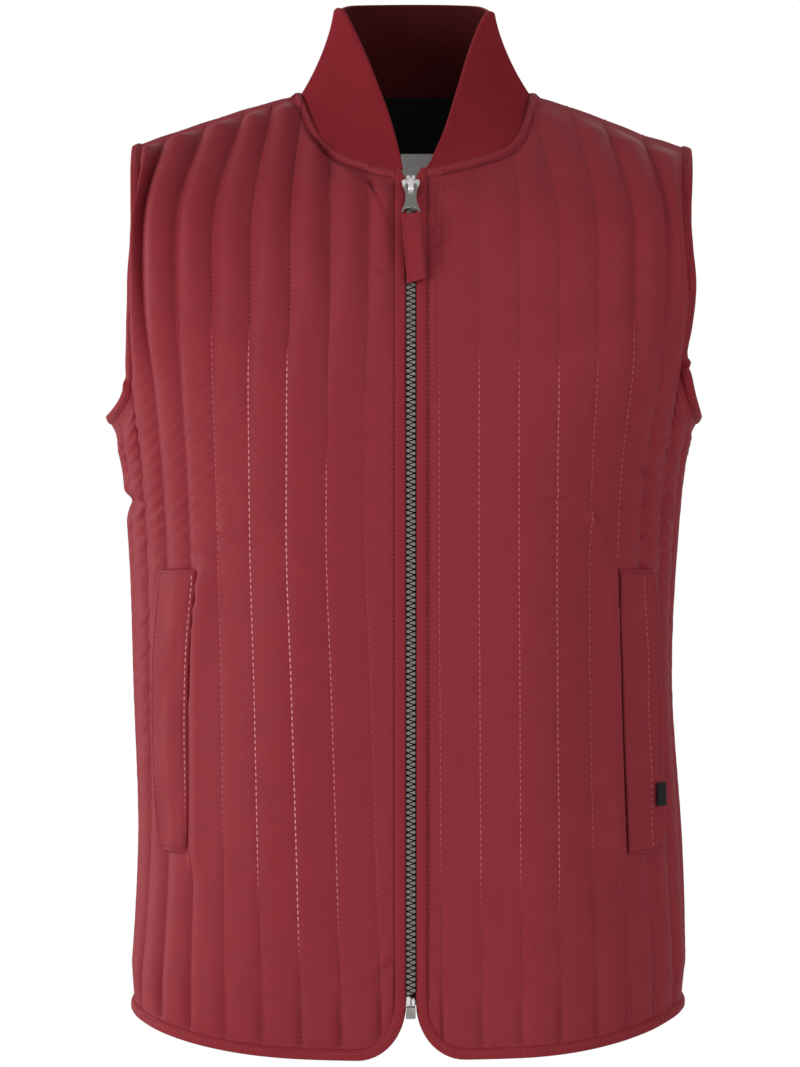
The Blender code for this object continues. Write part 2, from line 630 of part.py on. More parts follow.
seam = np.vstack([even(neck_right, front_steps), even(neck_back[::-1], back_steps), even(neck_left[::-1], front_steps)])
edge_right = spline(np.arange(7), COLLAR_EDGE_RIGHT, np.linspace(0, 6, 60))
edge_left = spline(np.arange(7), COLLAR_EDGE_LEFT, np.linspace(0, 6, 60))
middle_x = 0.5 * (edge_left[-1, 0] + edge_right[-1, 0])
start = np.arcsin((edge_right[-1, 1] - COLLAR_WIDEST_Y) / (COLLAR_BACK_Y - COLLAR_WIDEST_Y))
half_x = 0.5 * (edge_left[-1, 0] - edge_right[-1, 0]) / np.cos(start)
turn = np.linspace(np.pi - start, start, 90)
round_y = COLLAR_WIDEST_Y + (COLLAR_BACK_Y - COLLAR_WIDEST_Y) * np.sin(turn)
round_share = (round_y - edge_right[-1, 1]) / (COLLAR_BACK_Y - edge_right[-1, 1])
side_z = np.linspace(edge_right[-1, 2], edge_left[-1, 2], 90)
dip = COLLAR_DIP * np.sin(np.pi * np.clip(round_share / 0.7, 0, 1)) ** 2
upper_z = side_z + (COLLAR_BACK_Z - side_z) * round_share - dip
upper = np.column_stack([middle_x + half_x * np.cos(turn), round_y, upper_z])
free = np.vstack([even(edge_right, front_steps), even(upper, back_steps), even(edge_left[::-1], front_steps)])
share = np.linspace(0.0, 1.0, 7)[:, None, None]
stand = seam + (free - seam) * share
stand = stand + unit(free - seam) * 0.0017 * (1 - share)
away = -normals(stand)
stand = stand - away * COLLAR_HOLLOW * 4 * share * (1 - share) * np.linalg.norm(free - seam, axis=1)[:, None] / 0.06
away = -normals(stand)
half_wall = COLLAR_WALL * 0.5 * (1 - 0.25 * share ** 4)
wall("collar", (stand + away * half_wall)[:, ::-1], (stand - away * half_wall)[:, ::-1], 1, 6, (0, len(seam) - 1), RIB)

# Zip: chain and tapes follow the fronts' edges


def zip_line(side):
    """Points of a front's edge between the ends of the chain, moved to the middle, with their directions."""
    points, out = front_edges[side]
    rows = np.where((points[:, 2] < CHAIN_TOP - 0.004) & (points[:, 2] > CHAIN_LOW + 0.004))[0][::-1]
    ends = [(0.0, np.interp(z, points[:, 2], points[:, 1]), z) for z in (CHAIN_TOP, CHAIN_LOW)]
    path = np.vstack([ends[:1], points[rows], ends[1:]])
    out = np.vstack([out[rows[:1]], out[rows], out[rows[-1:]]]) * (0.0, 1.0, 1.0)
    return path * (0.0, 1.0, 1.0), unit(out)


zip_path, zip_out = zip_line("left")
zip_z = zip_path[:, 2]
sideways = np.tile((1.0, 0.0, 0.0), (len(zip_z), 1))
zip_run = np.cross(sideways, zip_out)
half = CHAIN_WIDE / 2
sweep("zip_chain", zip_path, sideways, zip_out,
      ((-half, -CHAIN_BACK), (half, -CHAIN_BACK), (half, CHAIN_FACE), (-half, CHAIN_FACE)), GREY_METAL)
for side, sign in (("right", -1.0), ("left", 1.0)):
    inner, outer = sign * (half + 0.0003), sign * (half + 0.0003 + TAPE_WIDE)
    tape_path, tape_out = zip_line(side)
    sweep("zip_tape_" + side, tape_path, sideways, tape_out,
          ((inner, -CHAIN_BACK), (outer, -CHAIN_BACK), (outer, -0.0018), (inner, -0.0018)), TAPE)
    sweep("zip_stop_" + side, zip_path[0] - zip_run[0] * np.array([[0.0004], [0.0036]]), sideways[:2], zip_out[[0, 0]],
          ((sign * 0.0004, -0.0010), (sign * half, -0.0010), (sign * half, 0.0024), (sign * 0.0004, 0.0024)), GREY_METAL)
box_ends = zip_path[-1] + zip_run[-1] * np.array([[0.0004], [0.0080]])
sweep("zip_box", box_ends, sideways[:2], zip_out[[-1, -1]],
      ((-0.0033, -0.0030), (0.0029, -0.0030), (0.0029, 0.0030), (-0.0033, 0.0030)), GREY_METAL)


def box(name, centre, run, out, profile, look):
    """A profile of (along the zip, out) points drawn out to both sides."""
    wide, outline = profile
    outline = np.array(outline)
    ring = centre + outline[:, :1] * run + outline[:, 1:] * out
    points = np.vstack([ring - (wide, 0, 0), ring + (wide, 0, 0)])
    n = len(outline)
    faces = [list(range(n))[::-1], list(range(n, 2 * n))]
    for k in range(n):
        m = (k + 1) % n
        faces.append([k, m, n + m, n + k])
    return solid(name, points, faces, look)


# Slider: a body in front of the chain, and a bridge over it that holds the puller's eye
at = np.interp(SLIDER_Z, zip_z[::-1], np.arange(len(zip_z))[::-1])
low = int(at)
slider_at = zip_path[low] + (zip_path[low + 1] - zip_path[low]) * (at - low)
run = zip_run[low]
face = zip_out[low]
tall = SLIDER_TALL / 2
body = ((-tall, SLIDER_NEAR), (tall, SLIDER_NEAR), (tall, SLIDER_FAR - 0.0010), (tall - 0.001, SLIDER_FAR),
        (-tall + 0.001, SLIDER_FAR), (-tall, SLIDER_FAR - 0.0010))
slider = box("zip_slider", slider_at, run, face, (SLIDER_WIDE / 2, body), GREY_METAL)
leg = tall - 0.0010
gap = leg - 0.0014
arch = ((-leg, SLIDER_FAR - 0.0008), (-leg, BRIDGE_FAR - 0.0010), (-leg + 0.001, BRIDGE_FAR), (leg - 0.001, BRIDGE_FAR),
        (leg, BRIDGE_FAR - 0.0010), (leg, SLIDER_FAR - 0.0008), (gap, SLIDER_FAR - 0.0008), (gap, BRIDGE_INSIDE),
        (-gap, BRIDGE_INSIDE), (-gap, SLIDER_FAR - 0.0008))
bridge = box("slider_bridge", slider_at, run, face, (0.0012, arch), GREY_METAL)
bridge.hide_render = True
bridge.display_type = "WIRE"
join = slider.modifiers.new("bridge", "BOOLEAN")
join.operation = "UNION"
join.object = bridge

# Puller and tab swing on the slider about its bridge; at rest the puller lies along the slider
pivot = slider_at + face * PIVOT_OUT
hinge = bpy.data.objects.new("zip_hinge", None)
hinge.location = pivot
bpy.context.scene.collection.objects.link(hinge)
thick = PULLER_THICK / 2
EYE_HALF = 0.0021
# distance from the hinge line, half width
PULLER_OUTLINE = (
    (-0.0006, 0.0036),
    (0.0040, 0.0042),
    (0.0100, 0.0040),
    (0.0170, 0.0042),
    (0.0215, 0.0052),
    (PULLER_LONG, 0.0060),
)
rim_right = [(reach, wide) for reach, wide in PULLER_OUTLINE]
crescent = [(PULLER_LONG - 0.0022, 0.0030), (PULLER_LONG - 0.0030, 0.0), (PULLER_LONG - 0.0022, -0.0030)]
rim_left = [(reach, -wide) for reach, wide in PULLER_OUTLINE[::-1]]
outline = np.array(rim_right + crescent + rim_left)
plate = outline[:, :1] * run + outline[:, 1:] * np.array([1.0, 0.0, 0.0])
n = len(outline)
sides = [[k, (k + 1) % n, n + (k + 1) % n, n + k] for k in range(n)]
puller = solid("zip_puller", np.vstack([plate - face * thick, plate + face * thick]),
               [list(range(n))[::-1], list(range(n, 2 * n))] + sides, GUN_METAL)
puller.parent = hinge
eye = box("puller_eye", np.zeros(3), run, face,
          (EYE_HALF, ((0.0006, -0.004), (0.0088, -0.004), (0.0088, 0.004), (0.0006, 0.004))), GUN_METAL)
eye.parent = hinge
eye.hide_render = True
eye.display_type = "WIRE"
cut = puller.modifiers.new("eye", "BOOLEAN")
cut.operation = "DIFFERENCE"
cut.object = eye
tab_start = pivot + run * (PULLER_LONG + 0.0008)
tab_z = tab_start[2] + np.linspace(0.0, -TAB_LONG, 9)
lying = np.interp(tab_z, zip_z[::-1], zip_path[::-1, 1]) - 0.0052
fall = np.linspace(0.0, 1.0, 9)
tab_y = tab_start[1] + (lying[-1] - tab_start[1]) * fall
tab_y = np.minimum(tab_y, lying) - 0.0015 * np.sin(np.pi * fall)
tab_path = np.column_stack([np.tan(np.radians(TAB_LEAN)) * (tab_start[2] - tab_z), tab_y, tab_z]) - pivot
tab_run = unit(np.gradient(tab_path, axis=0))
tab_side = unit(np.array([np.cos(np.radians(TAB_LEAN)), 0.0, np.sin(np.radians(TAB_LEAN))]) + 0 * tab_run)
tab_out = unit(np.cross(tab_run, tab_side))
deep = TAB_THICK / 2
wide = TAB_WIDE / 2
tab = sweep("pull_tab", tab_path, tab_side, tab_out,
            ((-wide, -deep), (wide, -deep), (wide, deep), (-wide, deep)), STRIP)
tab.parent = hinge
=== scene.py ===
import bmesh
import bpy
import numpy as np
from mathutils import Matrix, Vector


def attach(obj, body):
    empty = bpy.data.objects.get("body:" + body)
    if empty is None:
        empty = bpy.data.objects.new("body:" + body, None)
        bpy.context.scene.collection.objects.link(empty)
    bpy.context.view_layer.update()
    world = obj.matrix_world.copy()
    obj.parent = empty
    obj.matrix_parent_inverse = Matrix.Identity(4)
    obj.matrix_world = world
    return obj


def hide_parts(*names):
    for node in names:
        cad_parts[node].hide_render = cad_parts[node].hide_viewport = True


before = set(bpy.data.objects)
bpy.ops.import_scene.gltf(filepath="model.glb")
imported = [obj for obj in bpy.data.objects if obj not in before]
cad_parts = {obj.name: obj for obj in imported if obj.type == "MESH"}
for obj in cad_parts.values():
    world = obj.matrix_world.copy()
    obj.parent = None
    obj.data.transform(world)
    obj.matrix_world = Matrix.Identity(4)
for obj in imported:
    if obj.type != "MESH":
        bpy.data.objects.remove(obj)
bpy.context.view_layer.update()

# Studio. The vest stands filled out before white and is seen level from the front through a long lens; the
# floor lies as far below it as below a wearer. Soft lights from the left and from its side show the
# quilting, weaker ones from the right and the front fill the shade, and one from behind lifts the shoulders
# off the white.
CAMERA_AT = (-0.007, -2.825, -0.291)
LENS = 143.5
SENSOR_WIDE = 36.0
LIT_POINT = Vector((0.0, 0.0, -0.3))
WHITE = (1.0, 1.0, 1.0, 1.0)
ROOM_TINT = (1.0, 0.99, 0.98, 1.0)
ROOM_LIGHT = 0.42
FLOOR_Z = -1.30
FLOOR_REACH = np.linspace(0.05, 3.4, 24)
FLOOR_TURN = np.linspace(0.0, 2.0 * np.pi, 96, endpoint=False)
# Name, place, width, height, power, colour
SOFTBOXES = (
    ("key_left", (-2.2, -1.6, 0.15), 0.9, 1.3, 37.0, (1.0, 0.98, 0.96)),
    ("side_left", (-2.4, 0.9, 0.1), 0.8, 1.4, 26.0, (1.0, 0.99, 0.98)),
    ("side_right", (1.9, -1.7, 0.1), 0.8, 1.2, 9.0, (1.0, 0.99, 0.98)),
    ("fill_front", (0.9, -2.8, 0.2), 1.6, 1.6, 11.0, (1.0, 0.99, 0.98)),
    ("rim_back", (0.6, 2.2, 1.3), 1.6, 0.8, 6.0, (1.0, 1.0, 1.0)),
)


def linked(name, data):
    """A new object in the scene that shows the data."""
    thing = bpy.data.objects.new(name, data)
    bpy.context.scene.collection.objects.link(thing)
    return thing


def solid(name, points, faces, looks, smooth=True, sharp=None, uv=None, slots=None):
    """A mesh at the origin from an array of points and lists of faces. Edges past the angle sharp stay
    sharp, uv is each point's place on the flat cloth, and slots is each face's material."""
    mesh = bpy.data.meshes.new(name)
    mesh.from_pydata(points.reshape(-1, 3).tolist(), [], faces)
    for look in looks:
        mesh.materials.append(look)
    if slots is not None:
        mesh.polygons.foreach_set("material_index", slots.astype(np.int32))
    if smooth:
        mesh.shade_smooth()
    if sharp is not None:
        mesh.set_sharp_from_angle(angle=np.radians(sharp))
    if uv is not None:
        corner = np.empty(len(mesh.loops), np.int32)
        mesh.loops.foreach_get("vertex_index", corner)
        flat = uv.reshape(-1, 2)[corner].astype(np.float32)
        mesh.uv_layers.new(name="cloth").data.foreach_set("uv", flat.ravel())
    return linked(name, mesh)


def bands(rings):
    """Quads between neighbouring rings of point numbers, each ring closed on itself."""
    ahead = np.roll(rings, -1, axis=-1)
    quads = [rings[..., :-1, :], rings[..., 1:, :], ahead[..., 1:, :], ahead[..., :-1, :]]
    return np.stack(quads, axis=-1).reshape(-1, 4)


def set_sockets(tree, taker, sockets):
    """Fills inputs of a shader node: a value goes on the socket itself, another node's output is linked to
    it."""
    for name, given in sockets.items():
        if isinstance(given, bpy.types.NodeSocket):
            tree.links.new(given, taker.inputs[name])
        else:
            taker.inputs[name].default_value = given


def node(tree, kind, sockets=None, **settings):
    """A new shader node with the settings and sockets given."""
    made = tree.nodes.new("ShaderNode" + kind)
    for name, value in settings.items():
        setattr(made, name, value)
    set_sockets(tree, made, sockets or {})
    return made


def new_look(name):
    """A new material, its node tree and its Principled shader."""
    look = bpy.data.materials.new(name)
    look.use_nodes = True
    return look, look.node_tree, look.node_tree.nodes["Principled BSDF"]


def mixed(tree, share, first, second):
    """Output of a mix of two colours by a share."""
    sockets = {"Factor": share, "A": (*first, 1.0), "B": (*second, 1.0)}
    return node(tree, "Mix", sockets, data_type="RGBA").outputs["Result"]


lens = bpy.data.cameras.new("front_camera")
lens.sensor_width = SENSOR_WIDE
lens.lens = LENS
camera = linked("front_camera", lens)
camera.location = CAMERA_AT
camera.rotation_euler = (np.pi / 2, 0.0, 0.0)
bpy.context.scene.camera = camera
bpy.context.scene.view_settings.view_transform = "Standard"

room = bpy.data.worlds.new("white_room")
bpy.context.scene.world = room
room.use_nodes = True
air = room.node_tree
air.nodes.clear()
seen = node(air, "Background", {"Color": WHITE, "Strength": 1.0})
felt = node(air, "Background", {"Color": ROOM_TINT, "Strength": ROOM_LIGHT})
to_camera = node(air, "LightPath").outputs["Is Camera Ray"]
either = node(air, "MixShader", {"Fac": to_camera, 1: felt.outputs["Background"],
                                 2: seen.outputs["Background"]})
node(air, "OutputWorld", {"Surface": either.outputs["Shader"]})

for name, place, wide, high, power, colour in SOFTBOXES:
    lamp = bpy.data.lights.new(name, "AREA")
    lamp.shape = "RECTANGLE"
    lamp.size = wide
    lamp.size_y = high
    lamp.energy = power
    lamp.color = colour
    light = linked(name, lamp)
    light.location = place
    light.rotation_euler = (LIT_POINT - Vector(place)).to_track_quat("-Z", "Y").to_euler()
    light.visible_camera = False

floor_look, tree, shader = new_look("pale_floor")
grain = node(tree, "TexNoise", {"Vector": node(tree, "TexCoord").outputs["Object"], "Scale": 3.0})
floor_tone = mixed(tree, grain.outputs["Fac"], (0.80, 0.80, 0.79), (0.84, 0.84, 0.83))
set_sockets(tree, shader, {"Base Color": floor_tone, "Roughness": 0.9})
floor_x = np.outer(FLOOR_REACH, np.cos(FLOOR_TURN))
floor_y = np.outer(FLOOR_REACH, np.sin(FLOOR_TURN))
rings = np.stack([floor_x, floor_y, np.full(floor_x.shape, FLOOR_Z)], axis=-1)
spots = np.arange(floor_x.size).reshape(floor_x.shape)
floor = solid("floor", rings, bands(spots).tolist() + [spots[0].tolist()], (floor_look,), smooth=False)

# Fronts. Each is one panel of fine satin-like woven cloth, quilted in upright channels over a thin filling,
# with a plain black lining inside. The lines are sewn first, then the panel is cut, so the lines run out at
# its edges; the filling stands high under the shoulders and at the hem and lies nearly flat in the middle.
PITCH = 0.0254
PUFF = 0.0045
SHELL_OUT = 0.0010
SHELL_IN = 0.0012
SEAM_GAP = 0.0005
FRONT_EDGE = 0.0102
HEM_SIDE = -0.5930
ARM_LOW = -0.2180
HEM_CORNER = (0.024, 0.030)
# Sections up to the armhole
LOWER = 6
# z, front y, flat front to x, side x, side y, pull of front and of side on the turn, first line, eighth
# channel
SECTIONS_RIGHT = (
    (-0.618, -0.116, 0.070, 0.1805, -0.030, 0.62, 0.55, 0.0190, PITCH),   # hem
    (-0.492, -0.117, 0.065, 0.176, -0.008, 0.52, 0.42, 0.0222, PITCH),    # pocket, low
    (-0.390, -0.117, 0.060, 0.1795, 0.000, 0.48, 0.36, 0.0254, PITCH),    # pocket, middle
    (-0.295, -0.118, 0.060, 0.183, 0.003, 0.48, 0.32, 0.0286, PITCH),     # waist
    (-0.250, -0.120, 0.060, 0.187, 0.003, 0.50, 0.38, 0.0284, PITCH),     # below the arm
    (-0.200, -0.121, 0.060, 0.198, 0.003, 0.55, 0.45, 0.0280, PITCH),     # under the arm
    (-0.143, -0.115, 0.060, 0.207, -0.007, 0.62, 0.55, 0.0267, 0.0100),   # chest
    (-0.087, -0.101, 0.040, 0.217, 0.010, 0.62, 0.55, 0.0267, 0.0045),    # yoke
)
SECTIONS_LEFT = (
    (-0.618, -0.116, 0.070, 0.178, -0.020, 0.45, 0.48, 0.0197, PITCH),
    (-0.492, -0.117, 0.065, 0.176, -0.005, 0.45, 0.40, 0.0190, PITCH),
    (-0.390, -0.117, 0.060, 0.170, 0.000, 0.48, 0.36, 0.0185, PITCH),
    (-0.295, -0.118, 0.060, 0.174, 0.003, 0.50, 0.34, 0.0180, PITCH),
    (-0.250, -0.120, 0.060, 0.1785, 0.003, 0.52, 0.40, 0.0180, PITCH),
    (-0.190, -0.121, 0.070, 0.1885, 0.003, 0.75, 0.58, 0.0180, PITCH),
    (-0.143, -0.115, 0.060, 0.205, -0.007, 0.62, 0.55, 0.0178, 0.0205),
    (-0.087, -0.101, 0.040, 0.213, 0.010, 0.62, 0.55, 0.0180, 0.0150),
)
# The same sections behind: back y, reach of the upper back from its middle
SECTIONS_BACK = (
    (0.112, None),
    (0.110, None),
    (0.105, None),
    (0.101, None),
    (0.104, None),
    (0.112, None),
    (0.117, 0.187),
    (0.105, 0.181),
)
# Pulls of side and back on the turn behind
BACK_PULLS = (0.60, 0.62)
# Upper edge of a front at each stitch line: distance from the zip, y, z
TOP_RIGHT = (
    (0.0102, -0.0800, -0.0565),    # front edge
    (0.0270, -0.0745, -0.0520),
    (0.0534, -0.0530, -0.0380),
    (0.0720, 0.0020, -0.0005),     # shoulder point
    (0.0920, -0.0040, -0.0062),
    (0.1110, -0.0050, -0.0118),
    (0.1363, -0.0050, -0.0200),
    (0.1629, -0.0050, -0.0290),
    (0.1785, -0.0050, -0.0345),    # shoulder tip
)
TOP_LEFT = (
    (0.0102, -0.0800, -0.0556),    # front edge
    (0.0196, -0.0780, -0.0540),
    (0.0443, -0.0680, -0.0470),
    (0.0662, -0.0490, -0.0350),
    (0.0785, 0.0020, -0.0005),     # shoulder point
    (0.1064, -0.0050, -0.0100),
    (0.1283, -0.0050, -0.0180),
    (0.1542, -0.0050, -0.0285),
    (0.1800, -0.0050, -0.0365),    # shoulder tip
)
# How a front is cut: hand, sections, upper edge, its line at the shoulder point, armhole at the side seam,
# hem
CUTS = {
    "right": (-1.0, SECTIONS_RIGHT, TOP_RIGHT, 3, -0.190, -0.6202),
    "left": (1.0, SECTIONS_LEFT, TOP_LEFT, 4, -0.176, -0.6194),
}


def spline(knots, values, at, last=None):
    """Cubic pieces through the values at the knots; each inner slope is that of the parabola through
    three."""
    knots = np.asarray(knots, float)
    values = np.asarray(values, float)
    at = np.asarray(at, float)
    wide = (slice(None),) * at.ndim + (None,) * (values.ndim - 1)
    step = np.diff(knots)
    along_knots = (slice(None),) + (None,) * (values.ndim - 1)
    rise = np.diff(values, axis=0) / step[along_knots]
    share = (step[1:] / (step[1:] + step[:-1]))[along_knots]
    slope = np.empty_like(values)
    slope[1:-1] = rise[:-1] * share + rise[1:] * (1.0 - share)
    slope[0] = 1.5 * rise[0] - 0.5 * slope[1]
    slope[-1] = 1.5 * rise[-1] - 0.5 * slope[-2] if last is None else last
    i = np.clip(np.searchsorted(knots, at, side="right") - 1, 0, len(knots) - 2)
    t = ((at - knots[i]) / step[i])[wide]
    h = step[i][wide]
    return ((1 + 2 * t) * (1 - t) ** 2 * values[i] + t * (1 - t) ** 2 * h * slope[i]
            + t * t * (3 - 2 * t) * values[i + 1] + t * t * (t - 1) * h * slope[i + 1])


def run_of(line):
    """Distance of each point of a line from its start, along the line."""
    return np.concatenate([[0.0], np.cumsum(np.linalg.norm(np.diff(line, axis=0), axis=1))])


def mean_run(grid):
    """Distance of each row of a grid from its first row, as the mean of its columns."""
    return np.concatenate([[0.0], np.cumsum(np.linalg.norm(np.diff(grid, axis=0), axis=2).mean(axis=1))])


def between_rows(at, places, table):
    """Rows of a table at places between its own rows, in straight steps."""
    return np.stack([np.interp(at, places, column) for column in table.T], axis=-1)


def along(line, distance):
    """Points at the given distances along a line."""
    return between_rows(distance, run_of(line), line)


def length(line):
    """Sum of the distances between neighbouring points."""
    return np.linalg.norm(np.diff(line, axis=0), axis=1).sum()


def unit(v):
    """Vectors divided by their own lengths."""
    return v / np.linalg.norm(v, axis=-1, keepdims=True)


def ease(value, low, high):
    """Smooth step from 0 at low to 1 at high: three squares less two cubes of the share of the way."""
    share = np.clip((value - low) / (high - low), 0.0, 1.0)
    return share * share * (3.0 - 2.0 * share)


def window(value, low, full, still, high):
    """Smooth step up from low to full, and down again from still to high."""
    return ease(value, low, full) * (1 - ease(value, still, high))


def bell(value, middle, wide, power=2):
    """Bell curve: 1 in the middle, a third of it at the distance wide, flatter on top for a higher power."""
    return np.exp(-((value - middle) / wide) ** power)


def rounding(distance, wide, high):
    """Quarter ellipse: how much an edge has risen at a distance from its rounded corner."""
    gone = np.clip(1.0 - distance / wide, 0.0, 1.0)
    return high * (1.0 - np.sqrt(1.0 - gone * gone))


def swollen(distance, wide):
    """Quarter ellipse the other way: 0 at an edge, 1 from the distance wide on."""
    return np.sqrt(1 - (1 - np.clip(distance / wide, 0, 1)) ** 2)


def hem_rise(share):
    """Share of the hem's rise on the way to the side seam, a power curve that is level at both ends."""
    return share ** 3.6 * (1 + 3.6 * (1 - share))


def girth(section, y_back):
    """One half section as a fine line of (x, y): flat front, cubic turn to the side, cubic turn to the
    back."""
    y_front, flat, side_x, side_y, front_pull, side_pull = section[1:7]
    behind_pull, back_pull = BACK_PULLS
    t = np.linspace(0.0, 1.0, 80)[:, None]
    bend = np.hstack([(1 - t) ** 3, 3 * t * (1 - t) ** 2, 3 * t * t * (1 - t), t ** 3])
    front_turn = bend @ np.array([
        (flat, y_front),
        (flat + front_pull * (side_x - flat), y_front),
        (side_x, side_y - side_pull * (side_y - y_front)),
        (side_x, side_y),
    ])
    back_turn = bend @ np.array([
        (side_x, side_y),
        (side_x, side_y + behind_pull * (y_back - side_y)),
        (back_pull * side_x, y_back),
        (0.0, y_back),
    ])
    return np.vstack([[(0.0, y_front)], front_turn, back_turn[1:]])


def front_top(table, point, u):
    """Upper edge of a front at channel positions u: a curve round the neck, straight over the shoulder."""
    table = np.array(table)
    at = np.arange(len(table))
    neck = spline(at[:point + 1], table[:point + 1], np.minimum(u, point))
    return np.where((u < point)[:, None], neck, between_rows(u, at, table))


def seam_arc(section, u):
    """Distance along a section of channel position u: even channels from the first stitch line on."""
    line, eighth = section[7:]
    seventh = line + 6 * PITCH
    arc = np.where(u < 1, FRONT_EDGE + u * (line - FRONT_EDGE), line + (u - 1) * PITCH)
    arc = np.where(u > 7, seventh + np.minimum(u - 7, 1) * eighth, arc)
    return np.where(u > 8, seventh + eighth + (u - 8) * PITCH, arc)


def side_arc(section):
    """Distance along a section of its side seam."""
    return seam_arc(section, np.array([10.0]))[0]


def arm_curve(channels, arm_top):
    """Height of the armhole's lower edge, the quarter of an ellipse over two channels to the side seam."""
    return ARM_LOW + rounding(np.maximum(channels - 8, 0) * PITCH, 2 * PITCH, arm_top - ARM_LOW)


def lean_slope(u, point):
    """Direction of the upper end of a front's columns: 56 degrees at the neck, 30 over the shoulder."""
    lean = np.radians(np.interp(u, (point - 1.5, point), (56.0, 30.0)))
    return np.stack([0 * lean, np.cos(lean), np.sin(lean)], axis=-1)


def joined(knots, nets, rows, full, last):
    """Smooth columns through the nets, with the direction last at their upper ends. Columns that aren't
    full stop at the armhole, and the rest of them is not a number."""
    at = np.interp(rows, np.arange(len(nets)), knots)
    surface = spline(knots, nets, at, last)
    low = at <= knots[LOWER - 1] + 1e-9
    surface[np.ix_(low, ~full)] = spline(knots[:LOWER], nets[:LOWER, ~full], at[low])
    surface[np.ix_(~low, ~full)] = np.nan
    return surface


def front_surface(side, u, rows):
    """Sewn surface of a front on +X: the girth sections and the upper edge, joined along each column. Rows
    run from hem to upper edge, one column for each channel position u; past u = 8 a column stops at the
    armhole."""
    sections, top, point, arm_top, hem = CUTS[side][1:]
    nets = []
    for k, section in enumerate(sections):
        arc = seam_arc(section, u)
        z = np.full(len(u), section[0])
        if k == 0:
            to_side = hem_rise(np.clip(arc / side_arc(section), 0, 1))
            z = hem + (HEM_SIDE - hem) * to_side + rounding(arc - FRONT_EDGE, *HEM_CORNER)
        if k == LOWER - 1:
            z = arm_curve(u, arm_top)
        nets.append(np.column_stack([along(girth(section, SECTIONS_BACK[k][0]), arc), z]))
    nets.append(front_top(top, point, np.minimum(u, 8)))
    nets = np.array(nets)
    end = lean_slope(np.minimum(u, 8), point)
    nets[-1] -= end * SEAM_GAP
    full = u < 8.0 + 1e-6
    return joined(mean_run(nets[:, full]), nets, rows, full, end)


def channel_columns(channels, columns):
    """Column positions in channels, closer at the stitch lines: s less a tenth of the sine of its turn."""
    s = np.arange(columns) / columns
    s = s - 0.10 * np.sin(2 * np.pi * s)
    return np.append((np.arange(channels)[:, None] + s).ravel(), channels)


def crossed(grid):
    """Unit normals of a full grid of points, columns crossed with rows."""
    return unit(np.cross(np.gradient(grid, axis=1), np.gradient(grid, axis=0)))


def grid_normals(surface, step=None, first=0, last=None):
    """Unit normals of a panel's grid; above row step only columns first to last go on."""
    if step is None:
        return crossed(surface)
    out = np.full(surface.shape, np.nan)
    out[:step + 1] = crossed(surface[:step + 1])
    out[:, first:last + 1] = crossed(surface[:, first:last + 1])
    return out


def ripples(rng, down, across, wave_down, wave_across):
    """Random swell over a panel: random heights on a coarse net, joined by smooth curves both ways."""
    rows = np.arange(int(down.max() / wave_down) + 3)
    columns = np.arange(int(across.max() / wave_across) + 3)
    heights = rng.normal(size=(len(rows), len(columns)))
    over = spline(columns, heights.T, across / wave_across).T
    return spline(rows, over, down / wave_down)


def puckers(rng, u, down, wave, slant):
    """Small folds that the stitches draw in: along each side of each line a wave of uneven height, up and
    down in turn, strongest three millimetres from the line, nothing on it, and leaning by the slant."""
    strongest = 0.003
    channels = int(np.ceil(u[-1]))
    line = np.minimum(np.floor(u + 1e-9).astype(int), channels - 1)
    t = np.clip(u - line, 0.0, 1.0)
    heights = rng.uniform(0.25, 1.25, size=(2, channels + 2, int(down.max() / wave) + 10))
    heights[..., ::2] *= -1.0
    shift = rng.uniform(1.0, 3.0, size=(2, channels + 2))
    column = np.arange(len(u))[None, :]
    field = np.zeros((len(down), len(u)))
    for side, gone, lean in ((0, t * PITCH, slant), (1, (1 - t) * PITCH, -slant)):
        draw = gone / strongest * np.exp(1 - gone / strongest)
        at = (down[:, None] + lean * gone[None, :]) / wave + shift[side, line + side][None, :] + 1.0
        i = np.clip(np.floor(at).astype(int), 1, heights.shape[2] - 3)
        f = at - i
        waves = heights[side][line + side]
        row = waves[column, i]
        field += (row + (waves[column, i + 1] - row) * f * f * (3 - 2 * f)) * draw
    return field


def creases(x, z, folds):
    """Folds pressed in: each a trough across its direction, fading to its ends, with a roll beside it."""
    total = 0.0
    for (x_at, z_at), run, long, wide, deep, roll in folds:
        ahead = np.array(run) / np.hypot(*run)
        down_it = (x - x_at) * ahead[0] + (z - z_at) * ahead[1]
        off_it = (z - z_at) * ahead[0] - (x - x_at) * ahead[1]
        fade = np.exp(-(np.abs(down_it) / (0.5 * long)) ** 3)
        total = total + fade * (roll * bell(off_it, 1.7 * wide, 1.5 * wide) - deep * bell(off_it, 0.0, wide))
    return total


def flat_map(across, up):
    """Place of each point of a grid on the flat cloth, from the places of its columns and of its rows."""
    return np.stack(np.broadcast_arrays(across[None, :], up[:, None]), axis=-1)


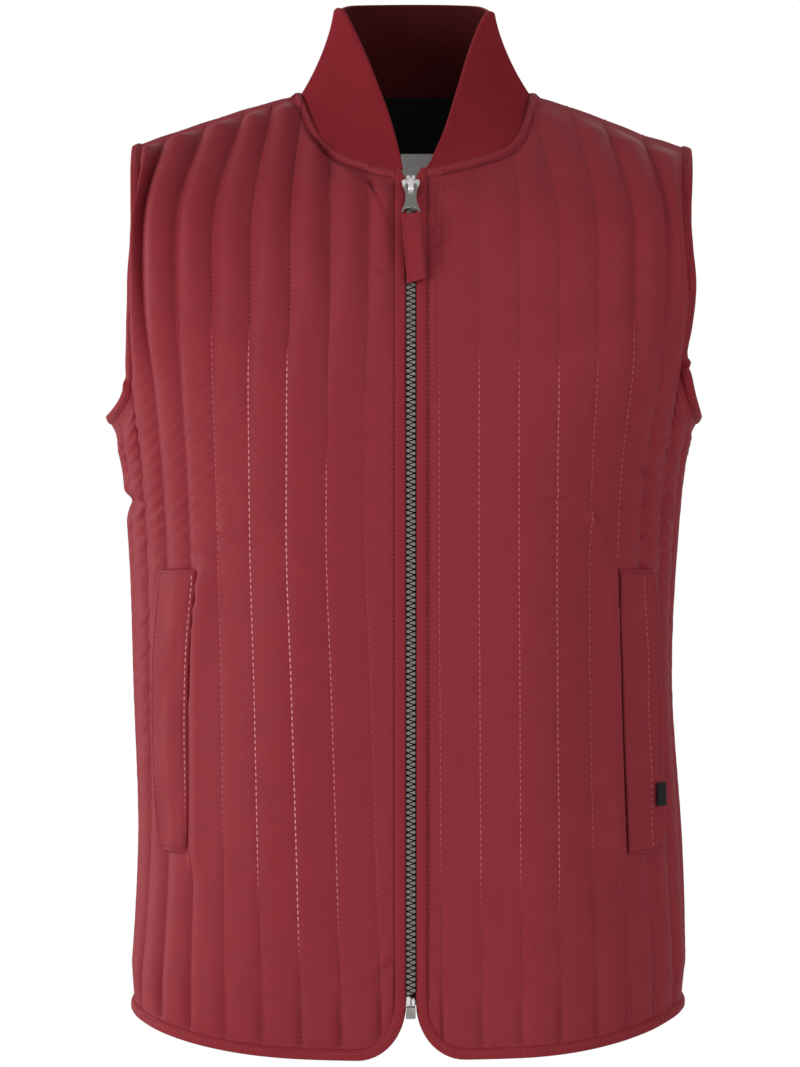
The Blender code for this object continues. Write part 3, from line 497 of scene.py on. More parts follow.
def quilted_panel(name, outer, inner, uv, looks, thin=1, step=None, first=0, last=None):
    """A closed wall from two grids: fine quads outside, every thin-th column inside, and a rim that joins
    them. Above row step only columns first to last go on. The outside takes the first material, inside the
    last."""
    rows, columns = outer.shape[:2]
    step = rows - 1 if step is None else step
    last = columns - 1 if last is None else last
    o = np.arange(rows * columns).reshape(rows, columns)
    n = o + rows * columns

    def cells(every):
        """Rows and columns of the lower left corners of the quads that are there."""
        r, c = np.meshgrid(np.arange(rows - 1), np.arange(0, columns - 1, every), indexing="ij")
        there = (r < step) | ((c >= first) & (c < last))
        return r[there], c[there]

    def rim(row, columns_at, up):
        """Rim pieces along a row: one inner step and the fine steps outside it."""
        fine = columns_at[:, None] + np.arange(thin + 1)[None, :]
        ends = [n[row, columns_at][:, None], n[row, columns_at + thin][:, None]]
        loop = np.hstack(ends + [o[row, fine[:, ::-1]]])
        return loop[:, ::-1] if up else loop

    r, c = cells(1)
    skin = np.stack([o[r, c], o[r, c + 1], o[r + 1, c + 1], o[r + 1, c]], axis=-1)
    r, c = cells(thin)
    lining = np.stack([n[r + 1, c], n[r + 1, c + thin], n[r, c + thin], n[r, c]], axis=-1)
    every = np.arange(0, columns - 1, thin)
    inside = (every >= first) & (every < last)
    rims = np.vstack([rim(0, every, False), rim(rows - 1, every[inside], True),
                      rim(step, every[~inside], True)])
    sides = []
    for r0, r1, left, right in ((0, step, 0, columns - 1), (step, rows - 1, first, last)):
        q = np.arange(r0, r1)
        sides.append(np.stack([n[q, left], o[q, left], o[q + 1, left], n[q + 1, left]], axis=-1))
        sides.append(np.stack([o[q, right], n[q, right], n[q + 1, right], o[q + 1, right]], axis=-1))
    quads = np.vstack([skin] + sides + [lining])
    points = np.vstack([outer.reshape(-1, 3), inner.reshape(-1, 3)])
    used = np.zeros(len(points), bool)
    used[quads.ravel()] = True
    used[rims.ravel()] = True
    place = np.cumsum(used) - 1
    slots = np.zeros(len(quads) + len(rims))
    slots[len(quads) - len(lining):len(quads)] = len(looks) - 1
    cloth = np.vstack([uv.reshape(-1, 2)] * 2)[used]
    faces = place[quads].tolist() + place[rims].tolist()
    return solid(name, points[used], faces, looks, uv=cloth, slots=slots)


def shader_group(name, inputs, outputs):
    """A new node group with sockets of the kinds given, its way in's outputs and its way out."""
    group = bpy.data.node_groups.new(name, "ShaderNodeTree")
    for way, sockets in (("INPUT", inputs), ("OUTPUT", outputs)):
        for socket, kind in sockets.items():
            group.interface.new_socket(socket, in_out=way, socket_type="NodeSocket" + kind)
    return group, group.nodes.new("NodeGroupInput").outputs, group.nodes.new("NodeGroupOutput")


# A fine plain weave: the product of two sine waves along the cloth's own two directions gives its height,
# broad noise the uneven tone of the dye, and finer noise the soft crumple of the cloth
woven, given, way_out = shader_group("woven_cloth", {"Along": "Vector", "Threads": "Float"},
                                     {"Weave": "Float", "Tone": "Float", "Crumple": "Float"})
turns = node(woven, "VectorMath", {0: given["Along"], "Scale": given["Threads"]}, operation="SCALE")
split = node(woven, "SeparateXYZ", {"Vector": turns.outputs["Vector"]})
warp, weft = (node(woven, "Math", {0: split.outputs[axis]}, operation="SINE").outputs["Value"]
              for axis in "XY")
weave = node(woven, "Math", {0: warp, 1: weft}, operation="MULTIPLY")
dye = node(woven, "TexNoise", {"Vector": given["Along"], "Scale": 42.0, "Detail": 3.0})
crumple = node(woven, "TexNoise", {"Vector": given["Along"], "Scale": 210.0, "Detail": 4.0,
                                   "Roughness": 0.55})
set_sockets(woven, way_out, {"Weave": weave.outputs["Value"], "Tone": dye.outputs["Fac"],
                             "Crumple": crumple.outputs["Fac"]})


def cloth_look(name, deep, light, rough, sheen, threads, crumple_height, by="UV"):
    """Cloth: the weave's tone mixes two dyes, its crumple and threads stand up as bump; the sheen is even."""
    look, tree, shader = new_look(name)
    place = node(tree, "TexCoord").outputs[by]
    cloth = node(tree, "Group", {"Along": place, "Threads": threads}, node_tree=woven)
    crumple = cloth.outputs["Crumple"]
    shine = node(tree, "MapRange", {"Value": crumple, "To Min": rough - 0.06, "To Max": rough + 0.06})
    soft = node(tree, "Bump", {"Height": crumple, "Strength": 0.55, "Distance": crumple_height})
    fine = node(tree, "Bump", {"Height": cloth.outputs["Weave"], "Strength": 0.12, "Distance": 0.00006,
                               "Normal": soft.outputs["Normal"]})
    set_sockets(tree, shader, {
        "Base Color": mixed(tree, cloth.outputs["Tone"], deep, light),
        "Roughness": shine.outputs["Result"],
        "Normal": fine.outputs["Normal"],
        "Specular IOR Level": 0.12,
        "Sheen Weight": sheen,
        "Sheen Roughness": 0.38,
        "Sheen Tint": (1.0, 0.44, 0.46, 1.0),
    })
    return look


SHELL_THREADS = 12600.0
shell_look = cloth_look("bordeaux_shell", (0.222, 0.0205, 0.0298), (0.265, 0.0272, 0.0378), 0.58, 0.07,
                        SHELL_THREADS, 0.0006)
BLACK_DYES = ((0.006, 0.006, 0.007), (0.010, 0.010, 0.011))
lining_look = cloth_look("black_lining", *BLACK_DYES, 0.42, 0.03, SHELL_THREADS, 0.0008)

# Seam thread: a glossy two-ply thread. Its colour is painted light along each run: pale pink for a painted
# sheen where the light catches the thread, dark for painted shade where it sinks into the cloth, near the
# cloth's own red in between.
thread_look, tree, shader = new_look("seam_thread")
ply = node(tree, "TexWave", {"Vector": node(tree, "TexCoord").outputs["Object"], "Scale": 900.0})
ply_shine = node(tree, "MapRange", {"Value": ply.outputs["Fac"], "To Min": 0.40, "To Max": 0.60})
painted_thread_light = node(tree, "Attribute", attribute_name="painted_thread_light")
thread_light_ramp = node(tree, "ValToRGB", {"Fac": painted_thread_light.outputs["Fac"]})
thread_light_ramp.color_ramp.elements[0].color = (0.085, 0.0060, 0.0090, 1.0)
thread_light_ramp.color_ramp.elements[1].color = (0.780, 0.340, 0.350, 1.0)
thread_light_ramp.color_ramp.elements.new(0.35).color = (0.360, 0.056, 0.068, 1.0)
set_sockets(tree, shader, {"Base Color": thread_light_ramp.outputs["Color"],
                           "Roughness": ply_shine.outputs["Result"], "Specular IOR Level": 0.20})


def stitch_run(path, out, pitch, long, wide, painted_thread_light):
    """Stitches along a sewn line, one row each: centre, direction, way out, length, width, painted light
    (pale for painted sheen, dark for painted shade). There is one every pitch; the painted light is one
    value, or a value for each point of the path."""
    count = max(int(length(path) / pitch), 1)
    at = (np.arange(count) + 0.5) * length(path) / count
    table = np.column_stack([path, out, np.broadcast_to(painted_thread_light, len(path))])
    spots = between_rows(at, run_of(path), table)
    ends = along(path, at + 0.3 * long) - along(path, at - 0.3 * long)
    size = np.tile((long, wide), (count, 1))
    return np.column_stack([spots[:, :3], unit(ends), unit(spots[:, 3:6]), size, spots[:, 6]])


def volume(points, faces):
    """Six times the volume behind faces of one size, each cut into a fan of triangles."""
    p = points.reshape(-1, 3)[faces]
    return sum((np.cross(p[:, 0], p[:, k]) * p[:, k + 1]).sum() for k in range(1, faces.shape[1] - 1))


def stacked(points, closed=False):
    """Faces of bodies that are stacks of rings of points: the walls between the rings and a cap on each
    end, or a last wall back to the first ring. All are turned round if the volume inside comes out
    negative."""
    rings = np.arange(points[..., 0].size).reshape(points.shape[:-1])
    if closed:
        kinds = [bands(np.concatenate([rings, rings[:1]]))]
    else:
        kinds = [bands(rings), np.vstack([rings[..., 0, :], rings[..., -1, ::-1]])]
    turn = 1 if sum(volume(points, faces) for faces in kinds) > 0 else -1
    return [face for faces in kinds for face in faces[:, ::turn].tolist()]


def stitch_mesh(name, runs):
    """All stitches as one mesh: each is a five-sided spindle of four rings, half sunk into the cloth."""
    s = np.vstack(runs)
    centre, ahead, out = (s[:, None, None, k:k + 3] for k in (0, 3, 6))
    side = unit(np.cross(ahead, out))
    angle = np.linspace(0.0, 2.0 * np.pi, 5, endpoint=False)[:, None]
    # Along the stitch, share of its width
    station = np.array([(-0.5, 0.45), (-0.22, 1.0), (0.22, 1.0), (0.5, 0.45)])
    reach = (station[:, 0] * s[:, 9:10])[:, :, None, None]
    thick = (station[:, 1] * s[:, 10:11] / 2)[:, :, None, None]
    points = centre + reach * ahead + thick * (np.cos(angle) * side + 0.8 * np.sin(angle) * out)
    piece = solid(name, points, stacked(points), (thread_look,))
    # Each stitch's painted light, pale for painted sheen and dark for painted shade, goes to all its points
    pale = np.repeat(s[:, 11], points.shape[1] * points.shape[2]).astype(np.float32)
    piece.data.attributes.new("painted_thread_light", "FLOAT", "POINT").data.foreach_set("value", pale)
    return piece


COLUMNS = 12
LOW_ROWS = 200
low_rows = np.concatenate([np.linspace(0, 0.15, 16), np.linspace(0.15, 5, LOW_ROWS - 15)[1:]])
front_rows = np.concatenate([low_rows, np.linspace(5, 7.72, 80)[1:], np.linspace(7.72, 8, 28)[1:]])
front_step = LOW_ROWS - 1
front_last = 8 * COLUMNS
# Thread on each line from zip to side, in painted light: how pale its painted sheen shows, from which height
# down to which, how pale above; low values are painted shade
PALE_RIGHT = (
    (0.30, -0.270, -0.570, 0.26),
    (0.58, -0.228, -0.568, 0.10),
    (0.85, -0.163, -0.578, 0.0),
    (0.78, -0.153, -0.540, 0.0),
    (0.44, -0.142, -0.508, 0.0),
    (0.26, -0.135, -0.500, 0.0),
    (0.18, -0.135, -0.500, 0.06),
    (0.18, -0.200, -0.520, 0.14),
    (0.18, -0.200, -0.520, 0.14),
)
PALE_LEFT = (
    (0.38, -0.190, -0.538, 0.30),
    (0.45, -0.166, -0.548, 0.20),
    (0.45, -0.166, -0.543, 0.14),
    (0.50, -0.166, -0.552, 0.14),
    (0.40, -0.166, -0.530, 0.14),
    (0.46, -0.140, -0.500, 0.17),
    (0.16, -0.140, -0.500, 0.12),
    (0.14, -0.200, -0.520, 0.12),
    (0.14, -0.200, -0.520, 0.12),
)
# Folds pressed in: place across and up, direction, length, width, depth, height of the roll beside it
FOLDS_RIGHT = (
    ((0.0205, -0.0730), (-0.60, -0.80), 0.034, 0.0015, 0.0019, 0.0016),   # from the collar to the zip
    ((0.0150, -0.1240), (-0.86, -0.50), 0.018, 0.0016, 0.0009, 0.0007),
    ((0.0170, -0.5690), (0.88, -0.30), 0.030, 0.0024, 0.0014, 0.0010),    # above the hem corner
    ((0.0400, -0.5820), (0.98, -0.20), 0.030, 0.0026, 0.0010, 0.0008),
    ((0.1140, -0.2650), (0.80, 0.55), 0.020, 0.0026, 0.0010, 0.0012),
    ((0.1190, -0.2960), (0.80, 0.55), 0.022, 0.0026, 0.0010, 0.0012),
    ((0.1420, -0.3060), (0.75, 0.65), 0.024, 0.0028, 0.0014, 0.0014),
    ((0.2260, -0.2690), (1.00, 0.05), 0.040, 0.0034, 0.0022, 0.0022),     # pinch at the side
)
FOLDS_LEFT = (
    ((0.1360, -0.2840), (-0.52, 0.85), 0.036, 0.0030, 0.0030, 0.0026),    # into the pocket's upper corner
    ((0.1020, -0.2700), (0.90, 0.10), 0.022, 0.0026, 0.0012, 0.0010),
    ((0.0240, -0.1030), (0.95, 0.30), 0.030, 0.0030, 0.0008, 0.0006),
    ((0.1750, -0.2500), (0.75, -0.65), 0.026, 0.0028, 0.0014, 0.0014),
    ((0.1990, -0.2360), (0.80, 0.60), 0.026, 0.0028, 0.0016, 0.0014),
    ((0.2150, -0.2800), (0.80, -0.60), 0.026, 0.0028, 0.0016, 0.0014),
)
# Lip of the panel beside the pocket's inner edge: height, place across
LIP_RIGHT = ((-0.497, 0.1546), (-0.405, 0.1544), (-0.360, 0.1506), (-0.314, 0.1422))
LIP_LEFT = ((-0.497, 0.1536), (-0.405, 0.1534), (-0.360, 0.1522), (-0.314, 0.1500))
# Heights between which a front has that lip, and lies flat under the welt
BESIDE_WELT = (-0.520, -0.490, -0.325, -0.300)
UNDER_WELT = (-0.502, -0.490, -0.322, -0.312)
# Pinch across the right side seam: height, half width, depth
PINCH_Z = -0.2690
PINCH_WIDE = 0.0075
PINCH_DEEP = 0.0034
# Deepest that a fold or a line may sink into the wall
DEEPEST = -0.0014
# Seed, thread's painted light, its painted light near the hem, fullness at hem, middle and shoulder, sway of
# the side lines, share of the puckers at the side, folds, lip, its height
FRONTS = {
    "right": (11, PALE_RIGHT, 0.08, (0.40, 0.26, 1.45), 0.0007, 0.34, FOLDS_RIGHT, LIP_RIGHT, 0.0032),
    "left": (23, PALE_LEFT, 0.15, (0.17, 0.09, 0.34), 0.0014, 0.90, FOLDS_LEFT, LIP_LEFT, 0.0036),
}


def from_hem(surface):
    """Length of cloth from the hem up each column, and from each point on to the column's upper end."""
    steps = np.linalg.norm(np.diff(surface, axis=0), axis=2)
    run = np.vstack([np.zeros(surface.shape[1]), np.cumsum(np.nan_to_num(steps), axis=0)])
    return run, run[-1] - run


def off_neck(surface, neck):
    """Distance of each point of a panel's 70 upper rows to the line round the neck; a metre for all
    others."""
    line = along(neck, np.linspace(0.0, length(neck), 240))
    apart = np.ones(surface.shape[:2])
    upper = np.nan_to_num(surface[-70:], nan=1.0)
    apart[-70:] = np.linalg.norm(upper[:, :, None] - line, axis=3).min(axis=2)
    return apart


def quilt_rise(u, surface, down, channels, rng, busy, plump, apart):
    """Height of the outer cloth over the sewn surface: a dome across each channel, as full as plump says at
    the hem, in the middle and at the shoulder, let down to the seams, with the stitches' puckers, scaled by
    busy, and a slow swell. Six millimetres round the neck are turned to a rolled band, with a groove beside
    it."""
    t = u - np.minimum(np.floor(u), channels - 1)
    run, left = from_hem(surface)
    z = surface[..., 2]
    full_low, full_middle, full_high = plump
    upper = ease(z, -0.23, -0.08)
    level = full_middle + (full_low - full_middle) * (1 - ease(z, -0.60, -0.47))
    level = level + (full_high - full_middle) * upper
    power = 4.0 - 1.7 * np.maximum(upper, ease(level, 0.5, 0.9))
    soft = 0.5 * np.maximum(upper, 0.4)
    dome = (1 - soft) * (1 - np.abs(2 * t - 1)[None, :] ** power)
    dome = dome + soft * (0.5 - 0.5 * np.cos(2 * np.pi * t))[None, :]
    seam = (0.10 + 0.90 * ease(run, 0.0, 0.009)) * (0.08 + 0.92 * ease(left, 0.003, 0.026))
    seam = seam * ease(apart, 0.0058, 0.0130)
    swell = 1.0 + 0.10 * ripples(rng, down, u * PITCH, 0.045, PITCH)
    held = ease(run, 0.004, 0.020) * ease(left, 0.004, 0.020) * ease(apart, 0.0060, 0.0120)
    draw = puckers(rng, u, down, 0.0050, 0.8) * busy * held
    to_line = np.minimum(t, 1 - t)[None, :] * PITCH
    gather = bell(to_line, 0.0, 0.0026) * window(run, 0.0, 0.002, 0.008, 0.044)
    band = 0.0022 * np.sin(np.pi * np.clip(apart / 0.0060, 0, 1)) - 0.0009 * bell(apart, 0.0064, 0.0010)
    return PUFF * dome * seam * level * swell + draw - 0.0018 * gather + band


def quilting_runs(path, out, pale, low, high, above, below):
    """Stitches of one quilting line: pale dashes of painted sheen between the heights low and high, darker
    needle holes of painted shade beyond."""
    z = path[:, 2]
    runs = []
    share = window(z, low, low + 0.05, high - 0.03, high)
    tone = share * pale + (1 - share) * np.where(z < 0.5 * (low + high), below, above)
    for here, pitch, long, wide in (
        (z <= low, 0.0029, 0.0017, 0.0011),
        ((z > low) & (z < high), 0.0041, 0.0029, 0.00105),
        (z >= high, 0.0029, 0.0017, 0.0012),
    ):
        here = here | np.append(here[1:], False)
        if here.sum() > 4:
            runs.append(stitch_run(path[here], out[here], pitch, long, wide, tone[here]))
    return runs


fronts = {}
for side, (seed, threads, pale_low, plump, sway, busy_side, folds, lip, lip_high) in FRONTS.items():
    sign, point = CUTS[side][0], CUTS[side][3]
    rng = np.random.default_rng(seed)
    u = channel_columns(10, COLUMNS)
    u[-1] -= SEAM_GAP / PITCH
    sewn = front_surface(side, u, front_rows)
    down = mean_run(sewn[:, :front_last])
    z = sewn[..., 2]
    across = (u * PITCH)[None, :]
    # The side lines wander where the waist draws in
    wander = window(u, 6.6, 8.4, 9.7, 10.0)[None, :] * bell(z, -0.34, 0.15, 4)
    slow = np.sin(2 * np.pi * (down[:, None] / 0.023 + 0.37 * u[None, :]))
    scallop = np.sin(2 * np.pi * (down[:, None] / 0.0118 + 0.61 * u[None, :]))
    aside = np.nan_to_num(unit(np.gradient(sewn, axis=1)))
    sewn = sewn + aside * (sway * np.nan_to_num(wander * (slow + 0.8 * scallop)))[..., None]
    out = grid_normals(sewn, front_step, 0, front_last)
    # Puckers gather under the arm and beside the pocket
    near_side = ease(u, 4.2, 6.5)[None, :]
    flank = window(u, 6.4, 7.2, 8.2, 8.9)[None, :] * bell(z, -0.36, 0.15, 4)
    gathered = 0.00100 * near_side * bell(z, -0.262, 0.060) + 0.00080 * flank
    gathered = gathered * busy_side * (1 - 0.8 * ease(u, 8.0, 8.8))[None, :]
    busy = 0.00010 + 0.00008 * near_side + np.nan_to_num(gathered)
    apart = off_neck(sewn, sewn[-1, :point * COLUMNS + 1])
    rise = quilt_rise(u, sewn, down, 10, rng, busy, plump, apart)
    # The channels at the side are rounder
    run, left = from_hem(sewn)
    rounded = (1 - np.abs(2 * (u - np.minimum(np.floor(u), 9)) - 1) ** 2.3) * ease(u, 4.4, 6.8)
    rise = rise + PUFF * 0.56 * rounded[None, :] * ease(run, 0.004, 0.024) * ease(left, 0.005, 0.024)
    rise = rise * np.where(u < 1, 0.55, 1.0)[None, :]
    arm_edge = 0.15 + 0.85 * ease(8.0 - u, 0.0, 0.35)[None, :]
    high = np.arange(len(front_rows))[:, None] >= front_step
    rise = np.where(high & (u <= 8)[None, :], rise * arm_edge, rise)
    rise = rise + creases(across + 0 * z, np.nan_to_num(z), folds)
    # The filling is pressed flat under the welt, most of all in a ditch beside the lip
    to_lip = across - np.interp(z, *np.array(lip).T)
    stand = window(to_lip, -0.020, -0.002, -0.0012, 0.0008) * window(z, *BESIDE_WELT)
    under = window(z, *UNDER_WELT)
    covered = ease(to_lip, 0.0004, 0.0030) * (1 - ease(across, 0.180, 0.191)) * under
    ditch = bell(to_lip, 0.0018, 0.0014) * under
    rise = rise * (1 - 0.9 * np.nan_to_num(covered)) + np.nan_to_num(lip_high * stand - 0.0008 * ditch)
    rise = np.maximum(rise, DEEPEST)
    outer = sewn + out * (SHELL_OUT + rise)[..., None]
    inner = sewn - out * (SHELL_IN + np.maximum(-rise, 0.0))[..., None]
    if side == "right":
        pinch = np.nan_to_num(PINCH_DEEP * bell(z, PINCH_Z, PINCH_WIDE) * ease(u, 8.0, 9.0)[None, :])
        outer, inner = (face - out * pinch[..., None] for face in (outer, inner))
    outer, inner, sewn, out = (grid * (sign, 1.0, 1.0) for grid in (outer, inner, sewn, out))
    uv = flat_map(u * PITCH, down)
    turned = slice(None, None, int(sign))
    first = 0 if side == "left" else len(u) - 1 - front_last
    piece = quilted_panel("front_" + side + "_quilt", outer[:, turned], inner[:, turned], uv[:, turned],
                          (shell_look, lining_look), 4, front_step, first, first + front_last)
    runs = []
    for line, (pale, pale_from, pale_to, above) in enumerate(threads, start=1):
        column = line * COLUMNS
        level = outer[2:len(front_rows) - 3 if line < 8 else front_step - 3, column]
        facing = out[2:2 + len(level), column]
        # Two lines pass under the pocket
        for lowest, highest in ((-1.0, -0.503), (-0.310, 1.0)) if line in (6, 7) else ((-1.0, 1.0),):
            here = (level[:, 2] > lowest) & (level[:, 2] < highest)
            runs += quilting_runs(level[here], facing[here], pale, pale_to, pale_from, above, pale_low)
    fronts[side] = {"piece": piece, "sewn": sewn, "out": out, "runs": runs, "sign": sign, "point": point}
    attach(piece, "vest")
    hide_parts("front_" + side)

# Back. The same quilted cloth from side seam to side seam, and above the shoulder blades a yoke of it, with
# the lines running on across the yoke's seam. It carries the shoulder seams a little to the front of the
# ridge; the lining is black.
BACK_COLUMNS = 8
HEM_BACK = -0.6072
NECK_BACK = (0.068, 0.007)
BACK_SEED = 41
SIDE_GAP = 0.0001
BACK_PLUMP = (0.45, 0.40, 0.80)
BACK_DEEPEST = -0.0012
# Thread on the lines, in painted light: how pale its painted sheen shows, from which height to which, how
# pale above and below
PALE_BACK = (0.48, -0.530, -0.150, 0.06, 0.06)
# Stitch: pitch, length, width
YOKE_STITCH = (0.0032, 0.0020, 0.0009)
# Lean of the columns' upper ends at the neck and over the ridge, share of their pull there
NECK_LEAN = np.radians(70.0)
RIDGE_LEAN = np.radians(20.0)
RIDGE_PULL = 0.60
# Soft folds where the waist draws in: place across and up, direction, length, width, depth, roll
FOLDS_BACK = (
    ((0.060, -0.270), (0.95, 0.25), 0.070, 0.0042, 0.0016, 0.0014),
    ((0.110, -0.300), (0.98, -0.10), 0.060, 0.0042, 0.0012, 0.0010),
    ((0.440, -0.280), (0.95, -0.28), 0.066, 0.0042, 0.0016, 0.0014),
    ((0.395, -0.315), (0.98, 0.12), 0.056, 0.0042, 0.0012, 0.0010),
    ((0.254, -0.075), (1.00, 0.00), 0.110, 0.0060, 0.0012, 0.0010),
)


def back_top(u):
    """Upper edge of the back: the two shoulder seams and, between them, half an ellipse round the neck."""
    left = np.array(TOP_LEFT)[4:]
    right = np.array(TOP_RIGHT)[3:] * (-1.0, 1.0, 1.0)
    middle_x = 0.5 * (left[0, 0] + right[0, 0])
    half_x = 0.5 * (left[0, 0] - right[0, 0])
    turn = np.clip((u - 6) / 8, 0, 1) * np.pi
    neck = np.column_stack([
        middle_x + half_x * np.cos(turn),
        left[0, 1:] + (np.array(NECK_BACK) - left[0, 1:]) * np.sin(turn)[:, None],
    ])
    share = np.clip((np.abs(10 - u) - 4) / 4, 0, 1)
    shoulders = [along(line, share * length(line)) for line in (left, right)]
    return np.where((share > 0)[:, None], np.where((u < 10)[:, None], *shoulders), neck)


def back_surface(u, rows):
    """Sewn surface of the back: the rear halves of the girth sections and the upper edge, joined along each
    column by a smooth curve that comes over the ridge at the shoulders. Columns run from the left side seam
    to the right."""
    nets = []
    for k, (y_back, upper_reach) in enumerate(SECTIONS_BACK):
        net = np.empty((len(u), 3))
        for sign, sections, _, _, arm_top, _ in CUTS.values():
            here = (u <= 10) if sign > 0 else (u > 10)
            line = girth(sections[k], y_back)[::-1]
            channels = np.abs(10 - u[here])
            if upper_reach is None:
                arc = channels / 10 * (length(line) - side_arc(sections[k]) - SEAM_GAP)
            else:
                arc = channels / 8 * upper_reach
            z = np.full(len(arc), sections[k][0])
            if k == 0:
                z = HEM_BACK + (HEM_SIDE - HEM_BACK) * hem_rise(channels / 10)
            if k == LOWER - 1:
                z = arm_curve(channels, arm_top)
            net[here] = np.column_stack([along(line, arc) * (sign, 1.0), z])
        nets.append(net)
    nets.append(back_top(u))
    nets = np.array(nets)
    full = (u >= 2) & (u <= 18)
    knots = mean_run(nets[:, full])
    on_neck = ease(4 - np.abs(10 - u), 0.0, 2.5)[:, None]
    over = np.array([0.0, -np.cos(RIDGE_LEAN), -np.sin(RIDGE_LEAN)]) * RIDGE_PULL
    last = np.array([0.0, -np.cos(NECK_LEAN), np.sin(NECK_LEAN)]) * on_neck + over * (1 - on_neck)
    nets[-1] -= last * SEAM_GAP
    return joined(knots, nets, rows, full, last)


back_rows = np.concatenate([np.linspace(0, 5, 170), np.linspace(5, 6.5, 41)[1:],
                            np.linspace(6.5, 7.72, 34)[1:], np.linspace(7.72, 8, 26)[1:]])
back_step = 169
yoke_row = 209
back_first = 2 * BACK_COLUMNS
back_last = 18 * BACK_COLUMNS
neck_columns = slice(6 * BACK_COLUMNS, 14 * BACK_COLUMNS + 1)
back_u = channel_columns(20, BACK_COLUMNS)
back_sewn = back_surface(back_u, back_rows)
# Its side seams lie against those of the fronts
for side, column, channels in (("left", 0, back_u), ("right", -1, 20 - back_u)):
    seam = fronts[side]["sewn"][:front_step + 1, -1]
    low_part = back_sewn[:back_step + 1]
    edge = low_part[:, column].copy()
    meet = between_rows(edge[:, 2], seam[:, 2], seam)
    meet[:, 1] += SIDE_GAP
    near = 1 - ease(channels, 0.0, 1.5)
    back_sewn[:back_step + 1] = low_part + near[None, :, None] * (meet - edge)[:, None, :]
back_down = mean_run(back_sewn[:, back_first:back_last])
back_out = grid_normals(back_sewn, back_step, back_first, back_last)
z = np.nan_to_num(back_sewn[..., 2])
off_middle = np.abs(10 - back_u)
busy = 0.00016 + 0.00070 * ease(off_middle, 5.0, 8.0)[None, :] * bell(z, -0.27, 0.06)
apart = off_neck(back_sewn, back_sewn[-1, neck_columns])
rise = quilt_rise(back_u, back_sewn, back_down, 20, np.random.default_rng(BACK_SEED), busy, BACK_PLUMP, apart)
arm_edge = 0.15 + 0.85 * ease(8.0 - off_middle, 0.0, 0.35)[None, :]
high = np.arange(len(back_rows))[:, None] >= back_step
rise = np.where(high, rise * arm_edge, rise)
back_run = from_hem(back_sewn)[0]
to_yoke = np.where(high, np.abs(back_run - back_run[yoke_row]), 1.0)
rise = rise * (0.12 + 0.88 * ease(to_yoke, 0.0, 0.009)) - 0.0007 * bell(to_yoke, 0.0, 0.0020)
rise = rise + creases((back_u * PITCH)[None, :] + 0 * z, z, FOLDS_BACK)
# The pinch at the right side runs on into the back
pinch = PINCH_DEEP * bell(z, PINCH_Z, PINCH_WIDE) * (1 - ease(20 - back_u, 0.0, 1.2))[None, :]
back_outer = back_sewn + back_out * (SHELL_OUT + np.maximum(rise, BACK_DEEPEST) - pinch)[..., None]
back_inner = back_sewn - back_out * (SHELL_IN + pinch)[..., None]
back = quilted_panel("back_quilt", back_outer, back_inner, flat_map(back_u * PITCH, back_down),
                     (shell_look, lining_look), 4, back_step, back_first, back_last)
back_runs = []
for line in range(1, 20):
    level = slice(2, len(back_rows) - 3 if 2 < line < 18 else back_step - 3)
    column = line * BACK_COLUMNS
    back_runs += quilting_runs(back_outer[level, column], back_out[level, column], *PALE_BACK)
over_yoke = slice(back_first + 2, back_last - 1)
for row in (yoke_row - 1, yoke_row + 1):
    back_runs.append(stitch_run(back_outer[row, over_yoke], back_out[row, over_yoke], *YOKE_STITCH, 0.0))
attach(back, "vest")
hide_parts("back", "back_yoke")

# Front strips and hem bindings. A folded strip of the shell cloth runs down each front edge beside the zip,
# round the lower corner and along the hem to the side seam; another binds the back's hem. All are turned
# over the panel's raw edge and sewn through once.
EDGE_STRIP = 0.0066
HEM_BINDING = 0.0063
STRIP_HIGH = 0.0022
# Stitches: pitch, length, width
EDGE_STITCH = (0.0030, 0.0018, 0.0009)
HEM_STITCH = (0.0034, 0.0022, 0.0009)
# How far a seam lies from the panel's edge, out over the strip, and up
EDGE_SEAM = (-0.0010, 0.0016)
HEM_SEAM = (0.0026, 0.0024)
binding_look = cloth_look("bordeaux_binding", (0.215, 0.0175, 0.0250), (0.255, 0.0230, 0.0320), 0.62, 0.08,
                          SHELL_THREADS, 0.0004)


def outward(path, up, inside, ring=False):
    """Directions that leave a panel's edge within its surface, away from the points inside."""
    if ring:
        run = np.roll(path, -1, axis=0) - np.roll(path, 1, axis=0)
    else:
        run = np.gradient(path, axis=0)
    side = unit(np.cross(unit(run), up))
    turned = np.sign((side * (path - inside)).sum(axis=1))
    return side * np.where(turned == 0, 1.0, turned)[:, None]


def folded_edge(wide, high):
    """Profile of a turned strip as (out, up): flat inside, a half round at its fold, and a slow crown back
    into the panel's edge."""
    end = SEAM_GAP + wide
    near = -0.0006
    deep = 0.5 * (high + SHELL_IN)
    bend = np.radians(np.linspace(-90.0, 90.0, 9))
    fold = np.column_stack([end - deep + deep * np.cos(bend), deep - SHELL_IN + deep * np.sin(bend)])
    # Share of the way back to the panel, share of the height
    crown = np.array([(0.66, 1.08), (0.40, 1.05), (0.18, 0.86), (0.06, 0.55), (0.0, 0.20)])
    crown = crown * (end - deep - near, high) + (near, 0.0)
    return np.vstack([[(near, -SHELL_IN)], fold, crown])


def swept(name, path, out, up, profile, look, ring=False, crown=None):
    """A closed profile of (out, up) points carried along a path; crown swells its upper side point by
    point."""
    shape = np.repeat(profile[None], len(path), axis=0)
    if crown is not None:
        shape[..., 1] *= np.where(shape[..., 1] > 0, 1 + crown[:, None], 1.0)
    points = path[:, None] + shape[..., :1] * out[:, None] + shape[..., 1:] * up[:, None]
    uv = flat_map(run_of(profile), run_of(path))
    return solid(name, points, stacked(points, ring), (look,), sharp=60.0, uv=uv)


